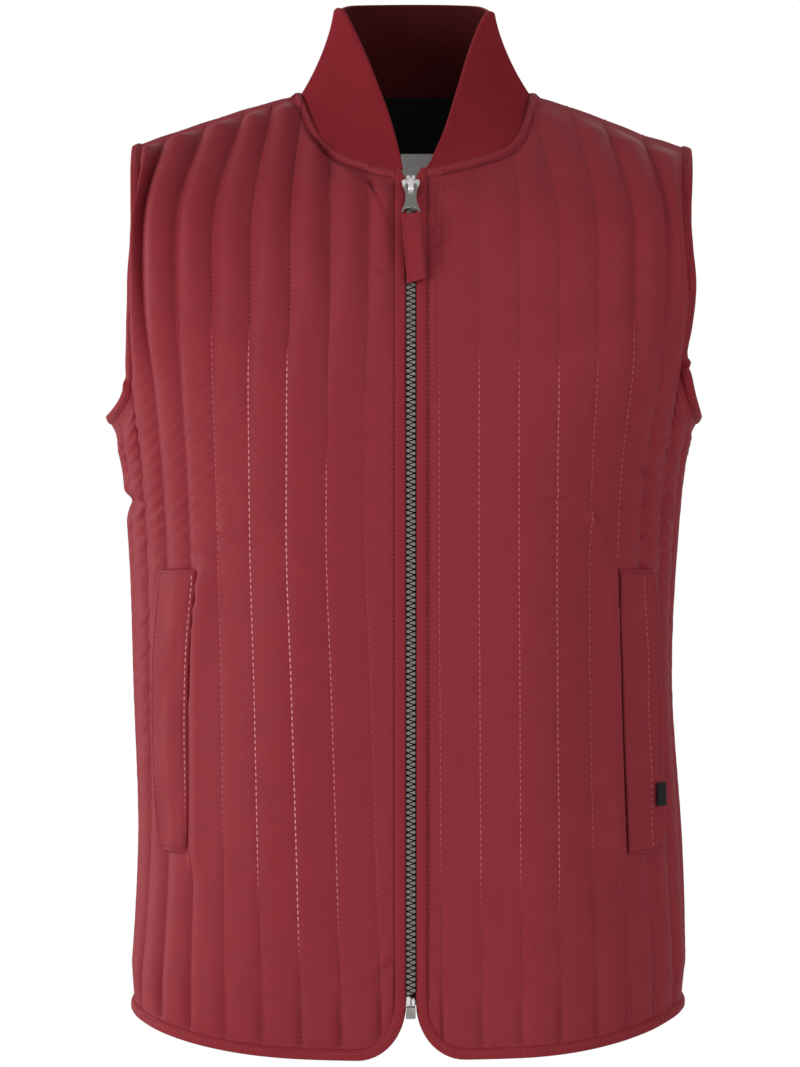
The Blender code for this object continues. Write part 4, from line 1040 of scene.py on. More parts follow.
def uneven(seed, run, wave):
    """A tenth more or less fullness along a strip, in random waves."""
    return 0.10 * ripples(np.random.default_rng(seed), run, np.array([0.0]), wave, 1.0)[:, 0]


def seam_on(part, path, away, up, off, stitch, pale):
    """Stitches along a part of an edge, as far out from it and up from it as off says."""
    line = path[part] + away[part] * off[0] + up[part] * off[1]
    return stitch_run(line, up[part], *stitch, pale)


for side, front in fronts.items():
    sewn, out = front["sewn"], front["out"]
    edge = np.vstack([sewn[::-2, 0], sewn[0, 1:]])
    up = np.vstack([out[::-2, 0], out[0, 1:]])
    away = outward(edge, up, np.vstack([sewn[::-2, 8], sewn[6, 1:]]))
    hem_from = len(edge) - (sewn.shape[1] - 1)
    run = run_of(edge)
    widen = ease(np.arange(len(edge)) - hem_from, 0, 26)
    broad = (1 + (HEM_BINDING / EDGE_STRIP - 1) * widen) * (0.55 + 0.45 * ease(run, -0.001, 0.009))
    profile = folded_edge(EDGE_STRIP, STRIP_HIGH)
    piece = swept("edge_" + side + "_strip", edge, away * broad[:, None], up, profile, binding_look,
                  crown=uneven(5, run, 0.011))
    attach(piece, "vest")
    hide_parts("edge_" + side)
    front["runs"].append(seam_on(slice(6, hem_from), edge, away, up, EDGE_SEAM, EDGE_STITCH, 0.10))
    front["runs"].append(seam_on(slice(hem_from + 4, -2), edge, away, up, HEM_SEAM, HEM_STITCH, 0.26))
    front["edge"] = edge[:hem_from][::-1]
    front["edge_up"] = up[:hem_from][::-1]

hem = back_sewn[0]
away = outward(hem, back_out[0], back_sewn[6])
profile = folded_edge(HEM_BINDING, STRIP_HIGH)
hem_back = swept("hem_back_binding", hem, away, back_out[0], profile, binding_look,
                 crown=uneven(6, run_of(hem), 0.011))
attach(hem_back, "vest")
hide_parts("hem_back")
back_runs.append(seam_on(slice(None), hem, away, back_out[0], HEM_SEAM, HEM_STITCH, 0.26))

# Armhole bindings. A narrow strip of the shell cloth is turned over the raw edge of front and back and sewn
# round as a ring, with its join under the arm.
ARM_BINDING = 0.0060
ARM_HIGH = 0.0021
ARM_STITCH = (0.0032, 0.0021, 0.0008)
ARM_SEAM = (0.0021, 0.0021)
ARM_STEPS = 300


def round_arm(grid, back_grid, column, under, rows_in=0, columns_in=0):
    """Points of a front's grid and of the back's round an armhole, or so many rows and columns further in."""
    return np.vstack([
        grid[:front_step - 1:-1, front_last - rows_in],
        grid[front_step - rows_in, front_last + 1:],
        back_grid[back_step - rows_in, under][1:],
        back_grid[back_step:-1, column + columns_in],
    ])


for side, column, under, columns_in in (
    ("left", back_first, slice(0, back_first), 4),
    ("right", back_last, slice(None, back_last, -1), -4),
):
    front = fronts[side]
    marks = np.column_stack([
        round_arm(front["sewn"], back_sewn, column, under),
        round_arm(front["out"], back_out, column, under),
        round_arm(front["sewn"], back_sewn, column, under, 6, columns_in),
    ])
    closed = np.vstack([marks, marks[:1]])
    run = run_of(closed[:, :3])
    at = np.linspace(0.0, run[-1], ARM_STEPS, endpoint=False)
    even = between_rows(at, run, closed)
    ring, up = even[:, :3], unit(even[:, 3:6])
    away = outward(ring, up, even[:, 6:], ring=True)
    crown = uneven(8, at, 0.010)
    crown[-8:] *= np.linspace(1.0, 0.0, 8)
    crown[:8] *= np.linspace(0.0, 1.0, 8)
    profile = folded_edge(ARM_BINDING, ARM_HIGH)
    piece = swept("armhole_" + side + "_binding", ring, away, up, profile, binding_look, ring=True,
                  crown=crown)
    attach(piece, "vest")
    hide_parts("armhole_" + side)
    front["runs"].append(seam_on(slice(None), ring, away, up, ARM_SEAM, ARM_STITCH, 0.0))

# Collar. One layer of rib knit is sewn into the neck: highest behind, running to nothing at the zip on both
# sides. The ribs stand across it from the seam to the free edge. A band of shell cloth is stitched down
# below the seam.
COLLAR_WALL = 0.0030
COLLAR_DIP = 0.0045
COLLAR_TOP = 0.0665
COLLAR_BEHIND = 0.060
COLLAR_ROUND = 0.014
COLLAR_ROWS = 13
COLLAR_SUNK = 0.0012
COLLAR_HOLLOW = 0.0020
RIB_PITCH = 0.00185
RIB_STEPS = 6
RIB_DEEP = 0.00045
RIB_THREADS = 5200.0
RIB_CRUMPLE = 0.0005
NECK_STITCH = (0.0032, 0.0020, 0.0008)
NECK_SEAM = (0.0064, SHELL_OUT + 0.0003)
# Free edge from the zip up to the side of the neck: x, y, z
COLLAR_EDGE_RIGHT = (
    (-0.0057, -0.0805, -0.0560),
    (-0.0110, -0.0648, -0.0326),
    (-0.0160, -0.0530, -0.0150),
    (-0.0234, -0.0393, 0.0058),
    (-0.0293, -0.0290, 0.0215),
    (-0.0367, -0.0176, 0.0385),
    (-0.0455, -0.0040, 0.0575),
)
COLLAR_EDGE_LEFT = (
    (0.0108, -0.0805, -0.0545),
    (0.0163, -0.0726, -0.0444),
    (0.0229, -0.0618, -0.0280),
    (0.0282, -0.0500, -0.0103),
    (0.0350, -0.0345, 0.0130),
    (0.0420, -0.0198, 0.0352),
    (0.0505, -0.0040, 0.0548),
)
rib_look = cloth_look("rib_knit", (0.185, 0.0125, 0.0180), (0.232, 0.0165, 0.0235), 0.90, 0.10,
                      RIB_THREADS, RIB_CRUMPLE)
# The inside of the collar is the same knit drawn far darker: painted shade for the hollow of the neck
rib_shaded_inside = cloth_look("rib_knit_inside_painted_shade", (0.050, 0.0040, 0.0052), (0.064, 0.0050, 0.0066), 0.90, 0.04,
                        RIB_THREADS, RIB_CRUMPLE)

neck_right, neck_left = (fronts[side]["sewn"][-1, :fronts[side]["point"] * COLUMNS + 1] for side in fronts)
neck_back = back_sewn[-1, neck_columns]
edge_right, edge_left = (spline(np.arange(7), edge, np.linspace(0, 6, 120))
                         for edge in (COLLAR_EDGE_RIGHT, COLLAR_EDGE_LEFT))
# Behind the neck the free edge is part of an ellipse, with a dip on each side of the nape
x_right, y_side, z_right = edge_right[-1]
x_left, z_left = edge_left[-1, [0, 2]]
start = np.arcsin((y_side - COLLAR_ROUND) / (COLLAR_BEHIND - COLLAR_ROUND))
turn = np.linspace(np.pi - start, start, 120)
round_x = 0.5 * (x_left + x_right) + 0.5 * (x_left - x_right) / np.cos(start) * np.cos(turn)
round_y = COLLAR_ROUND + (COLLAR_BEHIND - COLLAR_ROUND) * np.sin(turn)
share = (round_y - y_side) / (COLLAR_BEHIND - y_side)
side_z = np.linspace(z_right, z_left, 120)
dip = COLLAR_DIP * np.sin(np.pi * np.clip(share / 0.7, 0, 1)) ** 2
nape = np.column_stack([round_x, round_y, side_z + (COLLAR_TOP - side_z) * share - dip])


def rib_places(line):
    """Shares of a line's length, in even steps that make whole ribs."""
    return np.linspace(0.0, 1.0, int(round(length(line) / RIB_PITCH)) * RIB_STEPS + 1)


def evenly(right, behind, left):
    """Three lines of the collar, each stepped evenly by its own length, one after the other round the
    neck."""
    at_front, at_back = rib_places(neck_right), rib_places(neck_back)[1:-1]
    return np.vstack([along(right, at_front * length(right)), along(behind, at_back * length(behind)),
                      along(left, at_front * length(left))])


def smoothed(line, reach):
    """A line of points with its corners eased: the running mean over reach points to each side, ends kept."""
    at = np.arange(len(line))
    count = np.minimum(np.minimum(at, at[::-1]), reach)
    total = np.vstack([np.zeros(3), np.cumsum(line, axis=0)])
    return (total[at + count + 1] - total[at - count]) / (2 * count + 1)[:, None]


seam = evenly(neck_right, neck_back[::-1], neck_left[::-1])
free = smoothed(evenly(edge_right, nape, edge_left[::-1]), 5 * RIB_STEPS)
share = np.linspace(0.0, 1.0, COLLAR_ROWS)[:, None, None]
tall = np.linalg.norm(free - seam, axis=1)[:, None]
upward = unit(free - seam)
stand = seam + (free - seam) * share - upward * COLLAR_SUNK * (1 - share)
away = unit(np.cross(np.gradient(stand, axis=0), np.gradient(stand, axis=1)))
away = away * np.sign((away[0] * (seam - (0.003, 0.0, 0.0)) * (1.0, 1.0, 0.0)).sum())
stand = stand - away * (COLLAR_HOLLOW * 4 * share * (1 - share) * (tall / 0.06))
ribs = (0.5 + 0.5 * np.cos(2 * np.pi * np.arange(len(seam)) / RIB_STEPS))[:, None]
settle = ease(tall, 0.006, 0.020) * ease(share * tall, 0.0008, 0.0040)
half_wall = COLLAR_WALL * 0.5 * (1 + 0.45 * share ** 6) * (0.45 + 0.55 * ease(tall, 0.0, 0.016))
outer_face = stand + away * (half_wall - RIB_DEEP * (1 - ribs) * settle)
inner_face = stand - away * (half_wall - RIB_DEEP * ribs * settle)
bend = np.radians((60.0, 30.0, 0.0, -30.0, -60.0))[:, None, None]
rim_thick = half_wall[-1] - 0.0002 * settle[-1]
rim = stand[-1] + (away[-1] * np.sin(bend) + upward * np.cos(bend) * 0.6) * rim_thick
# Each ring of points goes up the outside, over the rim and down the inside
rings = np.concatenate([outer_face, rim, inner_face[::-1]]).swapaxes(0, 1)
steps, corners = rings.shape[:2]
# Faces of the inside, which take the darker copy of the knit with its painted shade
within = (np.arange(corners) >= COLLAR_ROWS + 3) & (np.arange(corners) < corners - 1)
up_face = np.linspace(0, 0.06, COLLAR_ROWS)
over_rim = np.concatenate([up_face, np.full(len(bend), 0.0615), 0.063 + up_face])
collar = solid("collar_knit", rings, stacked(rings), (rib_look, rib_shaded_inside),
               uv=flat_map(run_of(seam), over_rim).swapaxes(0, 1),
               slots=np.append(np.tile(within, steps - 1), (False, False)))
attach(collar, "vest")
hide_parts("collar")
for neck, up, inside, runs, begin in (
    (neck_right, fronts["right"]["out"][-1], fronts["right"]["sewn"][-9], fronts["right"]["runs"], 2),
    (neck_left, fronts["left"]["out"][-1], fronts["left"]["sewn"][-9], fronts["left"]["runs"], 2),
    (neck_back, back_out[-1, neck_columns], back_sewn[-9, neck_columns], back_runs, 7),
):
    up, inside = up[:len(neck)], inside[:len(neck)]
    inward = -outward(neck, up, inside)
    runs.append(seam_on(slice(begin, -7), neck, inward, up, NECK_SEAM, NECK_STITCH, 0.08))

# Pockets. A welt of the shell cloth, folded double, lies on each front from the sixth quilting line to its
# open edge at the side. It is stitched down at both ends and along a line, and stands open a little between
# them.
WELT_WIDE = 0.0360
WELT_TOP = -0.3140
WELT_LOW = -0.4970
WELT_LONG = WELT_TOP - WELT_LOW
WELT_LINE = 6
WELT_LAYER = 0.0006
WELT_CLEAR = 0.0004
WELT_LIFT = 0.0026
WELT_GAPE = 0.0034
WELT_PUFF = 0.0022
WELT_FOLD = 0.0026
WELT_SLACK = 0.0005
# Stitches: pitch, length, width
WELT_STITCH = (0.0041, 0.0028, 0.00095)
WELT_END_STITCH = (0.0032, 0.0021, 0.0007)
DITCH_STITCH = (0.0030, 0.0030, 0.0011)
# Seed, share across of the sewn line, slant of the lower end, fold of the inner edge, lift at the shares
# WELT_AT
WELTS = {
    "right": (73, 0.07, -0.0016, 0.8, (-0.20, 0.20, 1.0, 0.95)),
    "left": (71, 0.62, -0.0034, 1.6, (-0.25, 0.0, 0.50, 0.95)),
}
WELT_AT = (0.0, 0.12, 0.40, 1.0)
# How far a welt's inner and outer edges lie off the straight: share of its height, inner, outer
WELT_EDGES = {
    "right": np.array([
        (0.0, 0.0050, -0.0078),
        (0.2, 0.0038, -0.0016),
        (0.5, 0.0048, 0.0),
        (0.75, 0.0008, -0.0014),
        (1.0, -0.0080, -0.0080),
    ]),
    "left": np.array([
        (0.0, 0.0040, 0.0010),
        (0.3, 0.0042, 0.0036),
        (0.5, 0.0038, 0.0040),
        (0.75, 0.0028, 0.0034),
        (1.0, 0.0010, -0.0012),
    ]),
}
open_at = WELT_WIDE / PITCH
part = 0.5 - 0.5 * np.cos(np.pi * np.linspace(0.0, 1.0, 25))
w = open_at * part
even = np.linspace(0.0, 1.0, 91)
v = 0.65 * (0.5 - 0.5 * np.cos(np.pi * even)) + 0.35 * even
up_to = np.minimum(v, 1 - v) * WELT_LONG
welt_faces = {}


def under_welt(side, channels, height):
    """Sewn surface of a front under its welt, from the welt's line on and by the share of the welt's
    height."""
    heights = [section[0] for section in CUTS[side][1][:4]]
    rows = np.interp(WELT_LOW + height * WELT_LONG, heights, np.arange(4))
    return front_surface(side, WELT_LINE + channels, rows)


for side, front in fronts.items():
    seed, sewn_at, slant, fold, lifts = WELTS[side]
    base = under_welt(side, w, v)
    slant = slant * (1 - part)[None, :] * ((1 - v) ** 3)[:, None]
    aside = spline(WELT_EDGES[side][:, 0], WELT_EDGES[side][:, 1:], v)
    aside = aside[:, :1] * (1 - part) + aside[:, 1:] * part
    upward, sideways = (unit(np.gradient(base, axis=axis)) for axis in (0, 1))
    base = base + upward * slant[..., None] + sideways * aside[..., None]
    away = grid_normals(base)
    # Its inner edge stands in the ditch beside the panel's lip
    across = np.minimum(w * fold, open_at - w) * PITCH
    plump = swollen(np.minimum(across[None, :], up_to[:, None]), WELT_FOLD)
    from_line = (WELT_LINE + w) * PITCH - WELT_LINE * PITCH
    slack = WELT_SLACK * ripples(np.random.default_rng(seed), v * WELT_LONG, from_line, 0.030, 0.012)
    lift = SHELL_OUT + WELT_CLEAR + WELT_LIFT * np.interp(part, WELT_AT, lifts)[None, :]
    low_face = lift + WELT_GAPE * np.sqrt(4 * v * (1 - v))[:, None] * part[None, :] ** 1.8
    groove = bell((part - sewn_at) * WELT_WIDE, 0.0, 0.0011)[None, :] * ease(up_to, 0.002, 0.012)[:, None]
    end_groove = bell(up_to, 0.0026, 0.0008)[:, None]
    high_face = low_face + WELT_LAYER + (WELT_PUFF + slack - 0.0011 * end_groove) * plump - 0.0008 * groove
    mirror = (front["sign"], 1.0, 1.0)
    face = (base + away * high_face[..., None]) * mirror
    under = (base + away * low_face[..., None]) * mirror
    uv = flat_map((WELT_LINE + w) * PITCH, v * WELT_LONG)
    turned = slice(None, None, int(front["sign"]))
    piece = quilted_panel("pocket_" + side + "_welt", face[:, turned], under[:, turned], uv[:, turned],
                          (shell_look,))
    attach(piece, "vest")
    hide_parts("pocket_" + side)
    welt_faces[side] = high_face
    line = int(np.argmin(np.abs(part - sewn_at)))
    pale = np.interp(v, (0.05, 0.30), (0.10, 0.85)) if side == "right" else np.full(len(v), 0.48)
    # Rows, columns, stitch, painted light of the thread
    seams = [
        (slice(4, -4), line, WELT_STITCH, pale[4:-4]),
        (slice(2, -2), -6, ARM_STITCH, 0.10),
        (3, slice(2, -2), WELT_END_STITCH, 0.0),
        (-4, slice(2, -2), WELT_END_STITCH, 0.0),
    ]
    # The left welt is also stitched in the ditch along its inner edge; the thread's darkest tone there is
    # painted shade for the crease beside the panel's lip
    if side == "left":
        seams.append((slice(3, -3), 1, DITCH_STITCH, 0.0))
    for rows, columns, stitch, pale in seams:
        front["runs"].append(stitch_run(face[rows, columns], (away * mirror)[rows, columns], *stitch, pale))

# Pocket label. A small tab of plain black woven tape is folded round the open edge of the left welt and
# caught in its seam. It follows the welt's face.
# Shares of the welt's height, places across from its open edge, heights of its two faces over the welt
LABEL_V = np.linspace(0.155, 0.237, 10)
LABEL_ACROSS = np.linspace(-0.0106, 0.0006, 9)
LABEL_OVER = (0.0002, 0.0009)
black_look = cloth_look("black_label", *BLACK_DYES, 0.60, 0.10, 9000.0, 0.0002)
label_w = open_at + LABEL_ACROSS / PITCH
tag = under_welt("left", label_w, LABEL_V)
tag_out = grid_normals(tag)
aside = np.interp(LABEL_V, WELT_EDGES["left"][:, 0], WELT_EDGES["left"][:, 2])
tag = tag + unit(np.gradient(tag, axis=1)) * aside[:, None, None]
row = np.floor(np.interp(LABEL_V, v, np.arange(len(v)))).astype(int)
at_w = np.interp(label_w, w, np.arange(len(w)))
column = np.minimum(np.floor(at_w).astype(int), len(w) - 2)
on_welt = welt_faces["left"][row]
lie = on_welt[:, column] * (1 - (at_w - column)) + on_welt[:, column + 1] * (at_w - column)
lie = np.maximum(lie, on_welt[:, [-4]])
tag_under, tag_face = (tag + tag_out * (lie + over)[..., None] for over in LABEL_OVER)
label = quilted_panel("pocket_label_tab", tag_face, tag_under, flat_map(label_w * PITCH, LABEL_V * WELT_LONG),
                      (black_look,))
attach(label, "vest")
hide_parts("pocket_label")

# Neck label. A plain, pale woven label is sewn by its upper edge inside the back of the neck and hangs free
# below, curling a little. Its places across and up are in channels and rows of the back.
NECK_LABEL_U = np.linspace(9.45, 10.32, 14)
NECK_LABEL_ROWS = np.linspace(7.3, 7.6, 16)
NECK_LABEL_LONG = 0.028
NECK_LABEL_THICK = 0.0007
label_look = cloth_look("pale_label", (0.84, 0.835, 0.83), (0.90, 0.895, 0.89), 0.75, 0.02, 7000.0, 0.0002)
tag = back_surface(NECK_LABEL_U, NECK_LABEL_ROWS)
tag_out = grid_normals(tag)
drop = np.linspace(1.0, 0.0, len(NECK_LABEL_ROWS))[:, None]
curl = np.sin(np.linspace(0.0, 5.0, len(NECK_LABEL_U)))[None, :]
hang = SHELL_IN + 0.0009 + 0.0010 * drop ** 2 + 0.0004 * drop * curl
tag_face, tag_under = (tag - tag_out * (hang + over)[..., None] for over in (0.0, NECK_LABEL_THICK))
tag_uv = flat_map(NECK_LABEL_U * PITCH, np.linspace(0, NECK_LABEL_LONG, len(NECK_LABEL_ROWS)))
neck_label = quilted_panel("neck_label_patch", tag_face, tag_under, tag_uv, (label_look,))
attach(neck_label, "vest")
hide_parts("neck_label")

# Zip. Moulded teeth on two dark tapes sewn behind the front strips, with cast stops above, and below a cast
# box with the pin of one side and the post of the other.
CHAIN_LOW = -0.5920
CHAIN_TOP = -0.0645
CHAIN_FROM = 0.0008
PIN_LONG = 0.0062
TOOTH_PITCH = 0.0036
SIDEWAYS = np.array((1.0, 0.0, 0.0))
# One tooth seen from the front, from the tape to its head: sideways, down
TOOTH = np.array([
    (0.0030, -0.00112),
    (0.0014, -0.00136),
    (0.0009, -0.00096),
    (0.0006, -0.00056),
    (0.0, -0.00076),
    (-0.0009, -0.00060),
    (-0.0012, 0.0),
    (-0.0009, 0.00060),
    (0.0, 0.00076),
    (0.0006, 0.00056),
    (0.0009, 0.00096),
    (0.0014, 0.00136),
    (0.0030, 0.00112),
])
TOOTH_MIDDLE = np.array((0.0012, 0.0))
# Its outline again at three heights: height over the tape's plane, share of the outline's size
TOOTH_LEVELS = np.array([(-0.0018, 1.0), (0.0014, 1.0), (0.0025, 0.74)])
# Tape behind the teeth: sideways, up
CORE = np.array([
    (-0.0030, -0.0026),
    (0.0030, -0.0026),
    (0.0030, -0.0018),
    (0.0004, -0.0012),
    (-0.0004, -0.0012),
    (-0.0030, -0.0018),
])
# Pin and post: place across, half width, share of the length
PINS = {"zip_pin": (-0.0016, 0.0014, 1.0), "zip_post": (0.0014, 0.0011, 0.82)}
# Their levels: height over the tape's plane, share of the outline
PIN_LEVELS = np.array([(-0.0016, 1.0), (0.0020, 1.0), (0.0027, 0.78)])

# Cast metal or its moulded likeness: fine noise over the piece
cast_grain, given, way_out = shader_group("cast_grain", {"Along": "Vector"}, {"Grain": "Float"})
grain = node(cast_grain, "TexNoise", {"Vector": given["Along"], "Scale": 900.0, "Detail": 3.0})
set_sockets(cast_grain, way_out, {"Grain": grain.outputs["Fac"]})


def metal_look(name, colour, rough, coat, metallic):
    """Metal: its grain moves the tone and the roughness a little."""
    look, tree, shader = new_look(name)
    place = node(tree, "TexCoord").outputs["Object"]
    grain = node(tree, "Group", {"Along": place}, node_tree=cast_grain).outputs["Grain"]
    shine = node(tree, "MapRange", {"Value": grain, "To Min": rough - 0.07, "To Max": rough + 0.07})
    tone = mixed(tree, grain, [0.85 * c for c in colour], [1.15 * c for c in colour])
    set_sockets(tree, shader, {"Base Color": tone, "Roughness": shine.outputs["Result"], "Metallic": metallic,
                               "Coat Weight": coat})
    return look


tooth_look = metal_look("grey_teeth", (0.245, 0.228, 0.222), 0.42, 0.0, 0.6)
box_look = metal_look("grey_box", (0.34, 0.33, 0.325), 0.40, 0.0, 0.7)
silver_look = metal_look("silver_parts", (0.86, 0.85, 0.85), 0.30, 0.1, 0.45)
tape_look = cloth_look("dark_tape", (0.030, 0.008, 0.010), (0.042, 0.012, 0.014), 0.80, 0.10, 6000.0, 0.0002,
                       by="Object")

edge = fronts["left"]["edge"]
zip_z = np.linspace(CHAIN_TOP, CHAIN_LOW, 200)
zip_path = np.column_stack([0 * zip_z, np.interp(zip_z, edge[:, 2], edge[:, 1]), zip_z])
zip_out = unit(between_rows(zip_z, edge[:, 2], fronts["left"]["edge_up"]) * (0.0, 1.0, 1.0))
sideways = np.tile(SIDEWAYS, (len(zip_z), 1))
zip_run = np.cross(sideways, zip_out)
zip_run = zip_run * np.sign(-zip_run[:1, 2:])
zip_gone = run_of(zip_path)
teeth = []
for sign, shift in ((1.0, 0.5), (-1.0, 1.0)):
    gone = np.arange(CHAIN_FROM, zip_gone[-1] - PIN_LONG - TOOTH_PITCH, TOOTH_PITCH) + shift * TOOTH_PITCH
    centre, out, ahead = (between_rows(gone, zip_gone, line)[:, None, None]
                          for line in (zip_path, zip_out, zip_run))
    shape = TOOTH_MIDDLE + (TOOTH - TOOTH_MIDDLE) * TOOTH_LEVELS[:, 1, None, None]
    points = centre + shape[..., 1:] * unit(ahead) + TOOTH_LEVELS[:, None, :1] * unit(out)
    points = points + sign * shape[..., :1] * SIDEWAYS
    teeth.append(points[:, :, ::int(sign)])
teeth = np.concatenate(teeth)
zip_teeth = solid("zip_teeth", teeth, stacked(teeth), (tooth_look,), smooth=False)
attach(zip_teeth, "vest")
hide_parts("zip_chain")
zip_core = swept("zip_core", zip_path, sideways, zip_out, CORE, tape_look)
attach(zip_core, "vest")
for name in ("zip_tape_right", "zip_tape_left"):
    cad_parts[name].data.materials.clear()
    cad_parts[name].data.materials.append(tape_look)
# The solids of the stops and the box with their edges rounded
for name, round_by, look in (
    ("zip_stop_right", 0.0005, silver_look),
    ("zip_stop_left", 0.0005, silver_look),
    ("zip_box", 0.0008, box_look),
):
    shape = bmesh.new()
    shape.from_mesh(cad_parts[name].data)
    bmesh.ops.remove_doubles(shape, verts=shape.verts, dist=0.00001)
    bmesh.ops.dissolve_limit(shape, angle_limit=np.radians(5.0), verts=shape.verts, edges=shape.edges)
    bmesh.ops.bevel(shape, geom=shape.edges, offset=round_by, segments=3, profile=0.5, affect="EDGES")
    mesh = bpy.data.meshes.new(name + "_cast")
    shape.to_mesh(mesh)
    shape.free()
    mesh.materials.append(look)
    mesh.shade_smooth()
    mesh.set_sharp_from_angle(angle=np.radians(40.0))
    cast = linked(name + "_cast", mesh)
    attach(cast, "vest")
    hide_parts(name)


def plate(name, outline, levels, place, run, out, look):
    """A plate from one outline of (run, sideways) points, repeated at levels of (height, share of its
    size)."""
    shape = outline * levels[:, 1, None, None]
    rings = place + shape[..., :1] * run + shape[..., 1:] * SIDEWAYS + levels[:, None, :1] * out
    return solid(name, rings, stacked(rings), (look,), sharp=40.0)


def both_halves(half):
    """A closed outline from its half: the same points again, backwards and mirrored, without those in the
    middle."""
    back = half[::-1] * (1.0, -1.0)
    return np.vstack([half, back[np.abs(back[:, 1]) > 0]])


for name, (across, half_wide, tall) in PINS.items():
    half_long = 0.5 * tall * PIN_LONG
    # Down the zip, half width
    half = np.array([(-half_long, 0.5 * half_wide), (-0.8 * half_long, half_wide), (half_long, half_wide)])
    foot = zip_path[-1] + across * SIDEWAYS - zip_run[-1] * half_long
    pin = plate(name, both_halves(half), PIN_LEVELS, foot, zip_run[-1], zip_out[-1], silver_look)
    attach(pin, "vest")

# Slider. A cast silver shield rides over the teeth at the top of the chain, and a bridge on it carries the
# puller's eye.
# Hinge line of the puller, its height over the sewn surface, the way down the zip and the way off the cloth
# there
HINGE = np.array((0.0, -0.09890187, -0.06730559))
HINGE_HIGH = 0.0075
SLIDER_RUN = np.array((0.0, -0.65259, -0.75771))
SLIDER_OUT = np.array((0.0, -0.75771, 0.65259))
SLIDER_AT = HINGE - SLIDER_OUT * HINGE_HIGH
# Half outline of the shield from its upper to its lower end: down the zip, half width
SHIELD = np.array([
    (-0.0048, 0.0),
    (-0.0052, 0.0016),
    (-0.0064, 0.0030),
    (-0.0066, 0.0046),
    (-0.0054, 0.0058),
    (-0.0030, 0.0056),
    (-0.0010, 0.0048),
    (0.0034, 0.0036),
    (0.0054, 0.0030),
    (0.0060, 0.0020),
])
# Its levels: height over the sewn surface, share of the outline
SHIELD_LEVELS = np.array([(0.0032, 0.90), (0.0037, 1.0), (0.0056, 1.0), (0.0062, 0.93), (0.0064, 0.82)])
# Bridge: down the zip, height over the sewn surface
BRIDGE = np.array([
    (-0.0046, 0.0058),
    (-0.0046, 0.0080),
    (-0.0041, 0.0090),
    (-0.0028, 0.0093),
    (0.0, 0.0094),
    (0.0036, 0.0093),
    (0.0050, 0.0089),
    (0.0056, 0.0078),
    (0.0056, 0.0058),
])
# Half section of its bar: up, half width
BAR = np.array([(-0.0006, 0.0013), (-0.0004, 0.0017), (0.0003, 0.0017), (0.0006, 0.0011)])
slider = plate("slider_shield", both_halves(SHIELD), SHIELD_LEVELS, SLIDER_AT, SLIDER_RUN, SLIDER_OUT,
               silver_look)
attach(slider, "vest")
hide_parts("zip_slider")
arch = SLIDER_AT + BRIDGE[:, :1] * SLIDER_RUN + BRIDGE[:, 1:] * SLIDER_OUT
arch_side = np.tile(SIDEWAYS, (len(arch), 1))
arch_up = unit(np.cross(np.gradient(arch, axis=0), arch_side))
bridge = swept("slider_bridge", arch, arch_side, arch_up, both_halves(BAR)[:, ::-1], silver_look)
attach(bridge, "vest")

# Puller and tab. A flat gunmetal puller swings on the bridge; a doubled strip of the shell cloth hangs in its
# crescent and is sewn together along both edges and across below the crescent.
PULLER_LONG = 0.0250
EYE_AT = 0.0047
EYE_HALF = (0.0041, 0.0021)
TAB_LONG = 0.0435
TAB_WIDE = 0.0120
TAB_LEAN = np.radians(4.5)
TAB_CLEAR = 0.0052
# Stitches: pitch, length, width
TAB_STITCH = (0.0030, 0.0020, 0.0006)
TAB_END_STITCH = (0.0026, 0.0018, 0.0006)
# Half outline from above the eye to the middle of the crescent: distance from the hinge line, half width
PULLER = np.array([
    (-0.0006, 0.0),
    (-0.0006, 0.0028),
    (0.0, 0.0036),
    (0.0040, 0.0042),
    (0.0090, 0.0037),
    (0.0140, 0.0036),
    (0.0190, 0.0044),
    (0.0225, 0.0055),
    (0.0248, 0.0060),
    (0.0250, 0.0054),
    (0.0232, 0.0042),
    (0.0217, 0.0026),
    (0.0208, 0.0),
])
# Round the section of the plate: at the rim (0) or the eye (1), way in from there, height
PULLER_SECTION = (
    (0, 0.0003, -0.0006),
    (0, 0.0, -0.0003),
    (0, 0.0, 0.0003),
    (0, 0.0003, 0.0006),
    (1, -0.0003, 0.0006),
    (1, 0.0, 0.0003),
    (1, 0.0, -0.0003),
    (1, -0.0003, -0.0006),
)
gunmetal_look = metal_look("gunmetal", (0.30, 0.30, 0.29), 0.36, 0.1, 0.8)
half_rim = spline(np.arange(len(PULLER)), PULLER, np.linspace(0.0, len(PULLER) - 1.0, 61))
rim_line = np.vstack([half_rim, half_rim[-2:0:-1] * (1.0, -1.0)]) - (EYE_AT, 0.0)
ray = unit(rim_line)
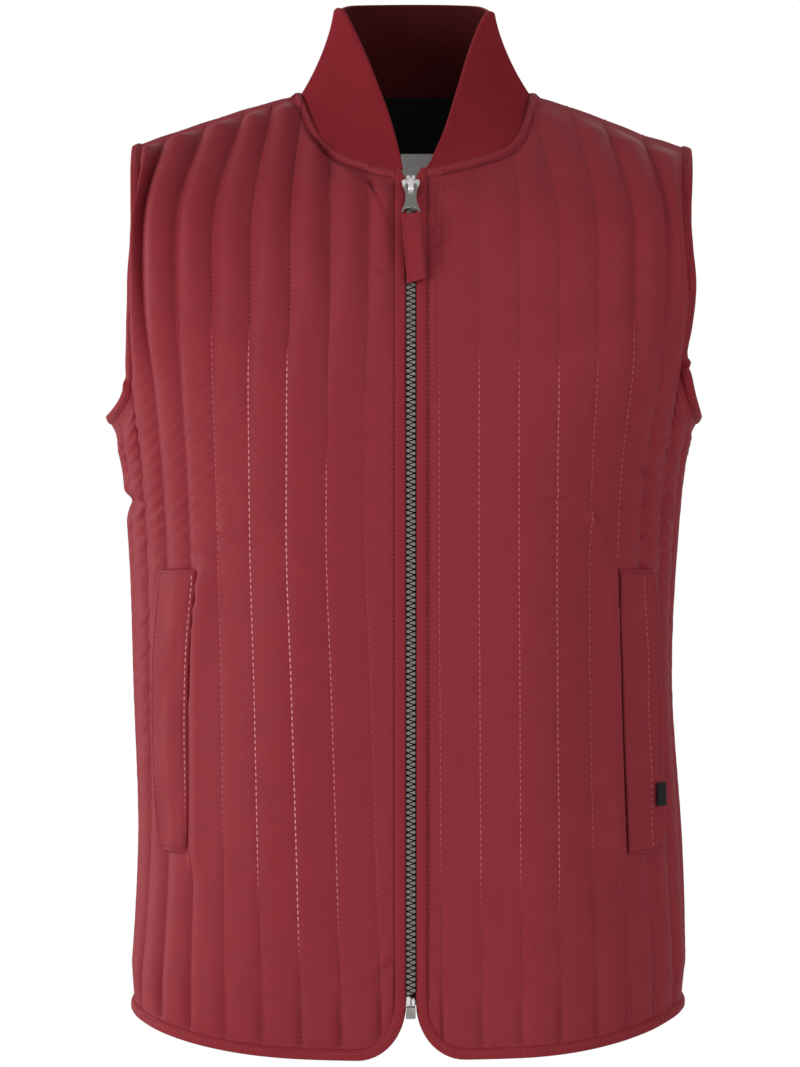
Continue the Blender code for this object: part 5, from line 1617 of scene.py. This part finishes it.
# The eye is a squarish oval, an ellipse of the fourth power
eye_line = ray * ((np.abs(ray) / EYE_HALF) ** 4).sum(axis=1, keepdims=True) ** -0.25
inward = unit(eye_line - rim_line)
lines = (rim_line, eye_line)
rings = np.array([lines[on_eye] + inward * step for on_eye, step, height in PULLER_SECTION]) + (EYE_AT, 0.0)
heights = np.array(PULLER_SECTION)[:, None, 2:]
points = HINGE + rings[..., :1] * SLIDER_RUN + rings[..., 1:] * SIDEWAYS + heights * SLIDER_OUT
puller = solid("puller_plate", points, stacked(points, closed=True), (gunmetal_look,), sharp=35.0)
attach(puller, "zip_pull")
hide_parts("zip_puller")
tab_start = HINGE + SLIDER_RUN * (PULLER_LONG + 0.0008)
fall = np.linspace(0.0, 1.0, 48)
tab_z = tab_start[2] - TAB_LONG * fall
lying = np.interp(tab_z, zip_z[::-1], zip_path[::-1, 1]) - TAB_CLEAR
tab_y = np.minimum(tab_start[1] + (lying[-1] - tab_start[1]) * fall, lying) - 0.0015 * np.sin(np.pi * fall)
tab_line = np.column_stack([np.tan(TAB_LEAN) * (tab_start[2] - tab_z), tab_y, tab_z])
tab_side = np.array((np.cos(TAB_LEAN), 0.0, np.sin(TAB_LEAN)))
tab_out = unit(np.cross(np.gradient(tab_line, axis=0), tab_side))
tab_out = tab_out * np.sign(-tab_out[:, 1:2])
s = -np.cos(np.pi * np.linspace(0.0, 1.0, 17))
to_side = (1 - np.abs(s))[None, :] * TAB_WIDE / 2
from_edge = np.minimum(to_side, np.minimum(fall, 1 - fall)[:, None] * TAB_LONG)
slant = 0.0014 * s[None, :] * fall[:, None] ** 6
middle = tab_line[:, None] + s[None, :, None] * tab_side * TAB_WIDE / 2 + slant[..., None] * (0.0, 0.0, 1.0)
half_thick = 0.00025 + 0.00055 * swollen(from_edge, 0.0011) - 0.00014 * bell(from_edge, 0.0017, 0.0006)
tab_face, tab_back = (middle + way * tab_out[:, None] * half_thick[..., None] for way in (1, -1))
tab_uv = flat_map(s * TAB_WIDE / 2, fall * TAB_LONG)
tab = quilted_panel("pull_tab_strip", tab_face[::-1], tab_back[::-1], tab_uv[::-1], (binding_look,))
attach(tab, "zip_pull")
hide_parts("pull_tab")
tab_runs = []
for column in (3, 13):
    tab_runs.append(stitch_run(tab_face[3:-3, column], tab_out[3:-3], *TAB_STITCH, 0.10))
for row in (4, 10):
    tab_runs.append(stitch_run(tab_face[row, 3:14], np.tile(tab_out[row], (11, 1)), *TAB_END_STITCH, 0.10))
tab_stitches = stitch_mesh("pull_tab_stitches", tab_runs)
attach(tab_stitches, "zip_pull")

# Thread. All seams of a panel, its strips and its pocket are sewn with one thread, so each panel has one mesh
# of stitches.
for side, front in fronts.items():
    stitches = stitch_mesh("front_" + side + "_stitches", front["runs"])
    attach(stitches, "vest")
back_stitches = stitch_mesh("back_stitches", back_runs)
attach(back_stitches, "vest")
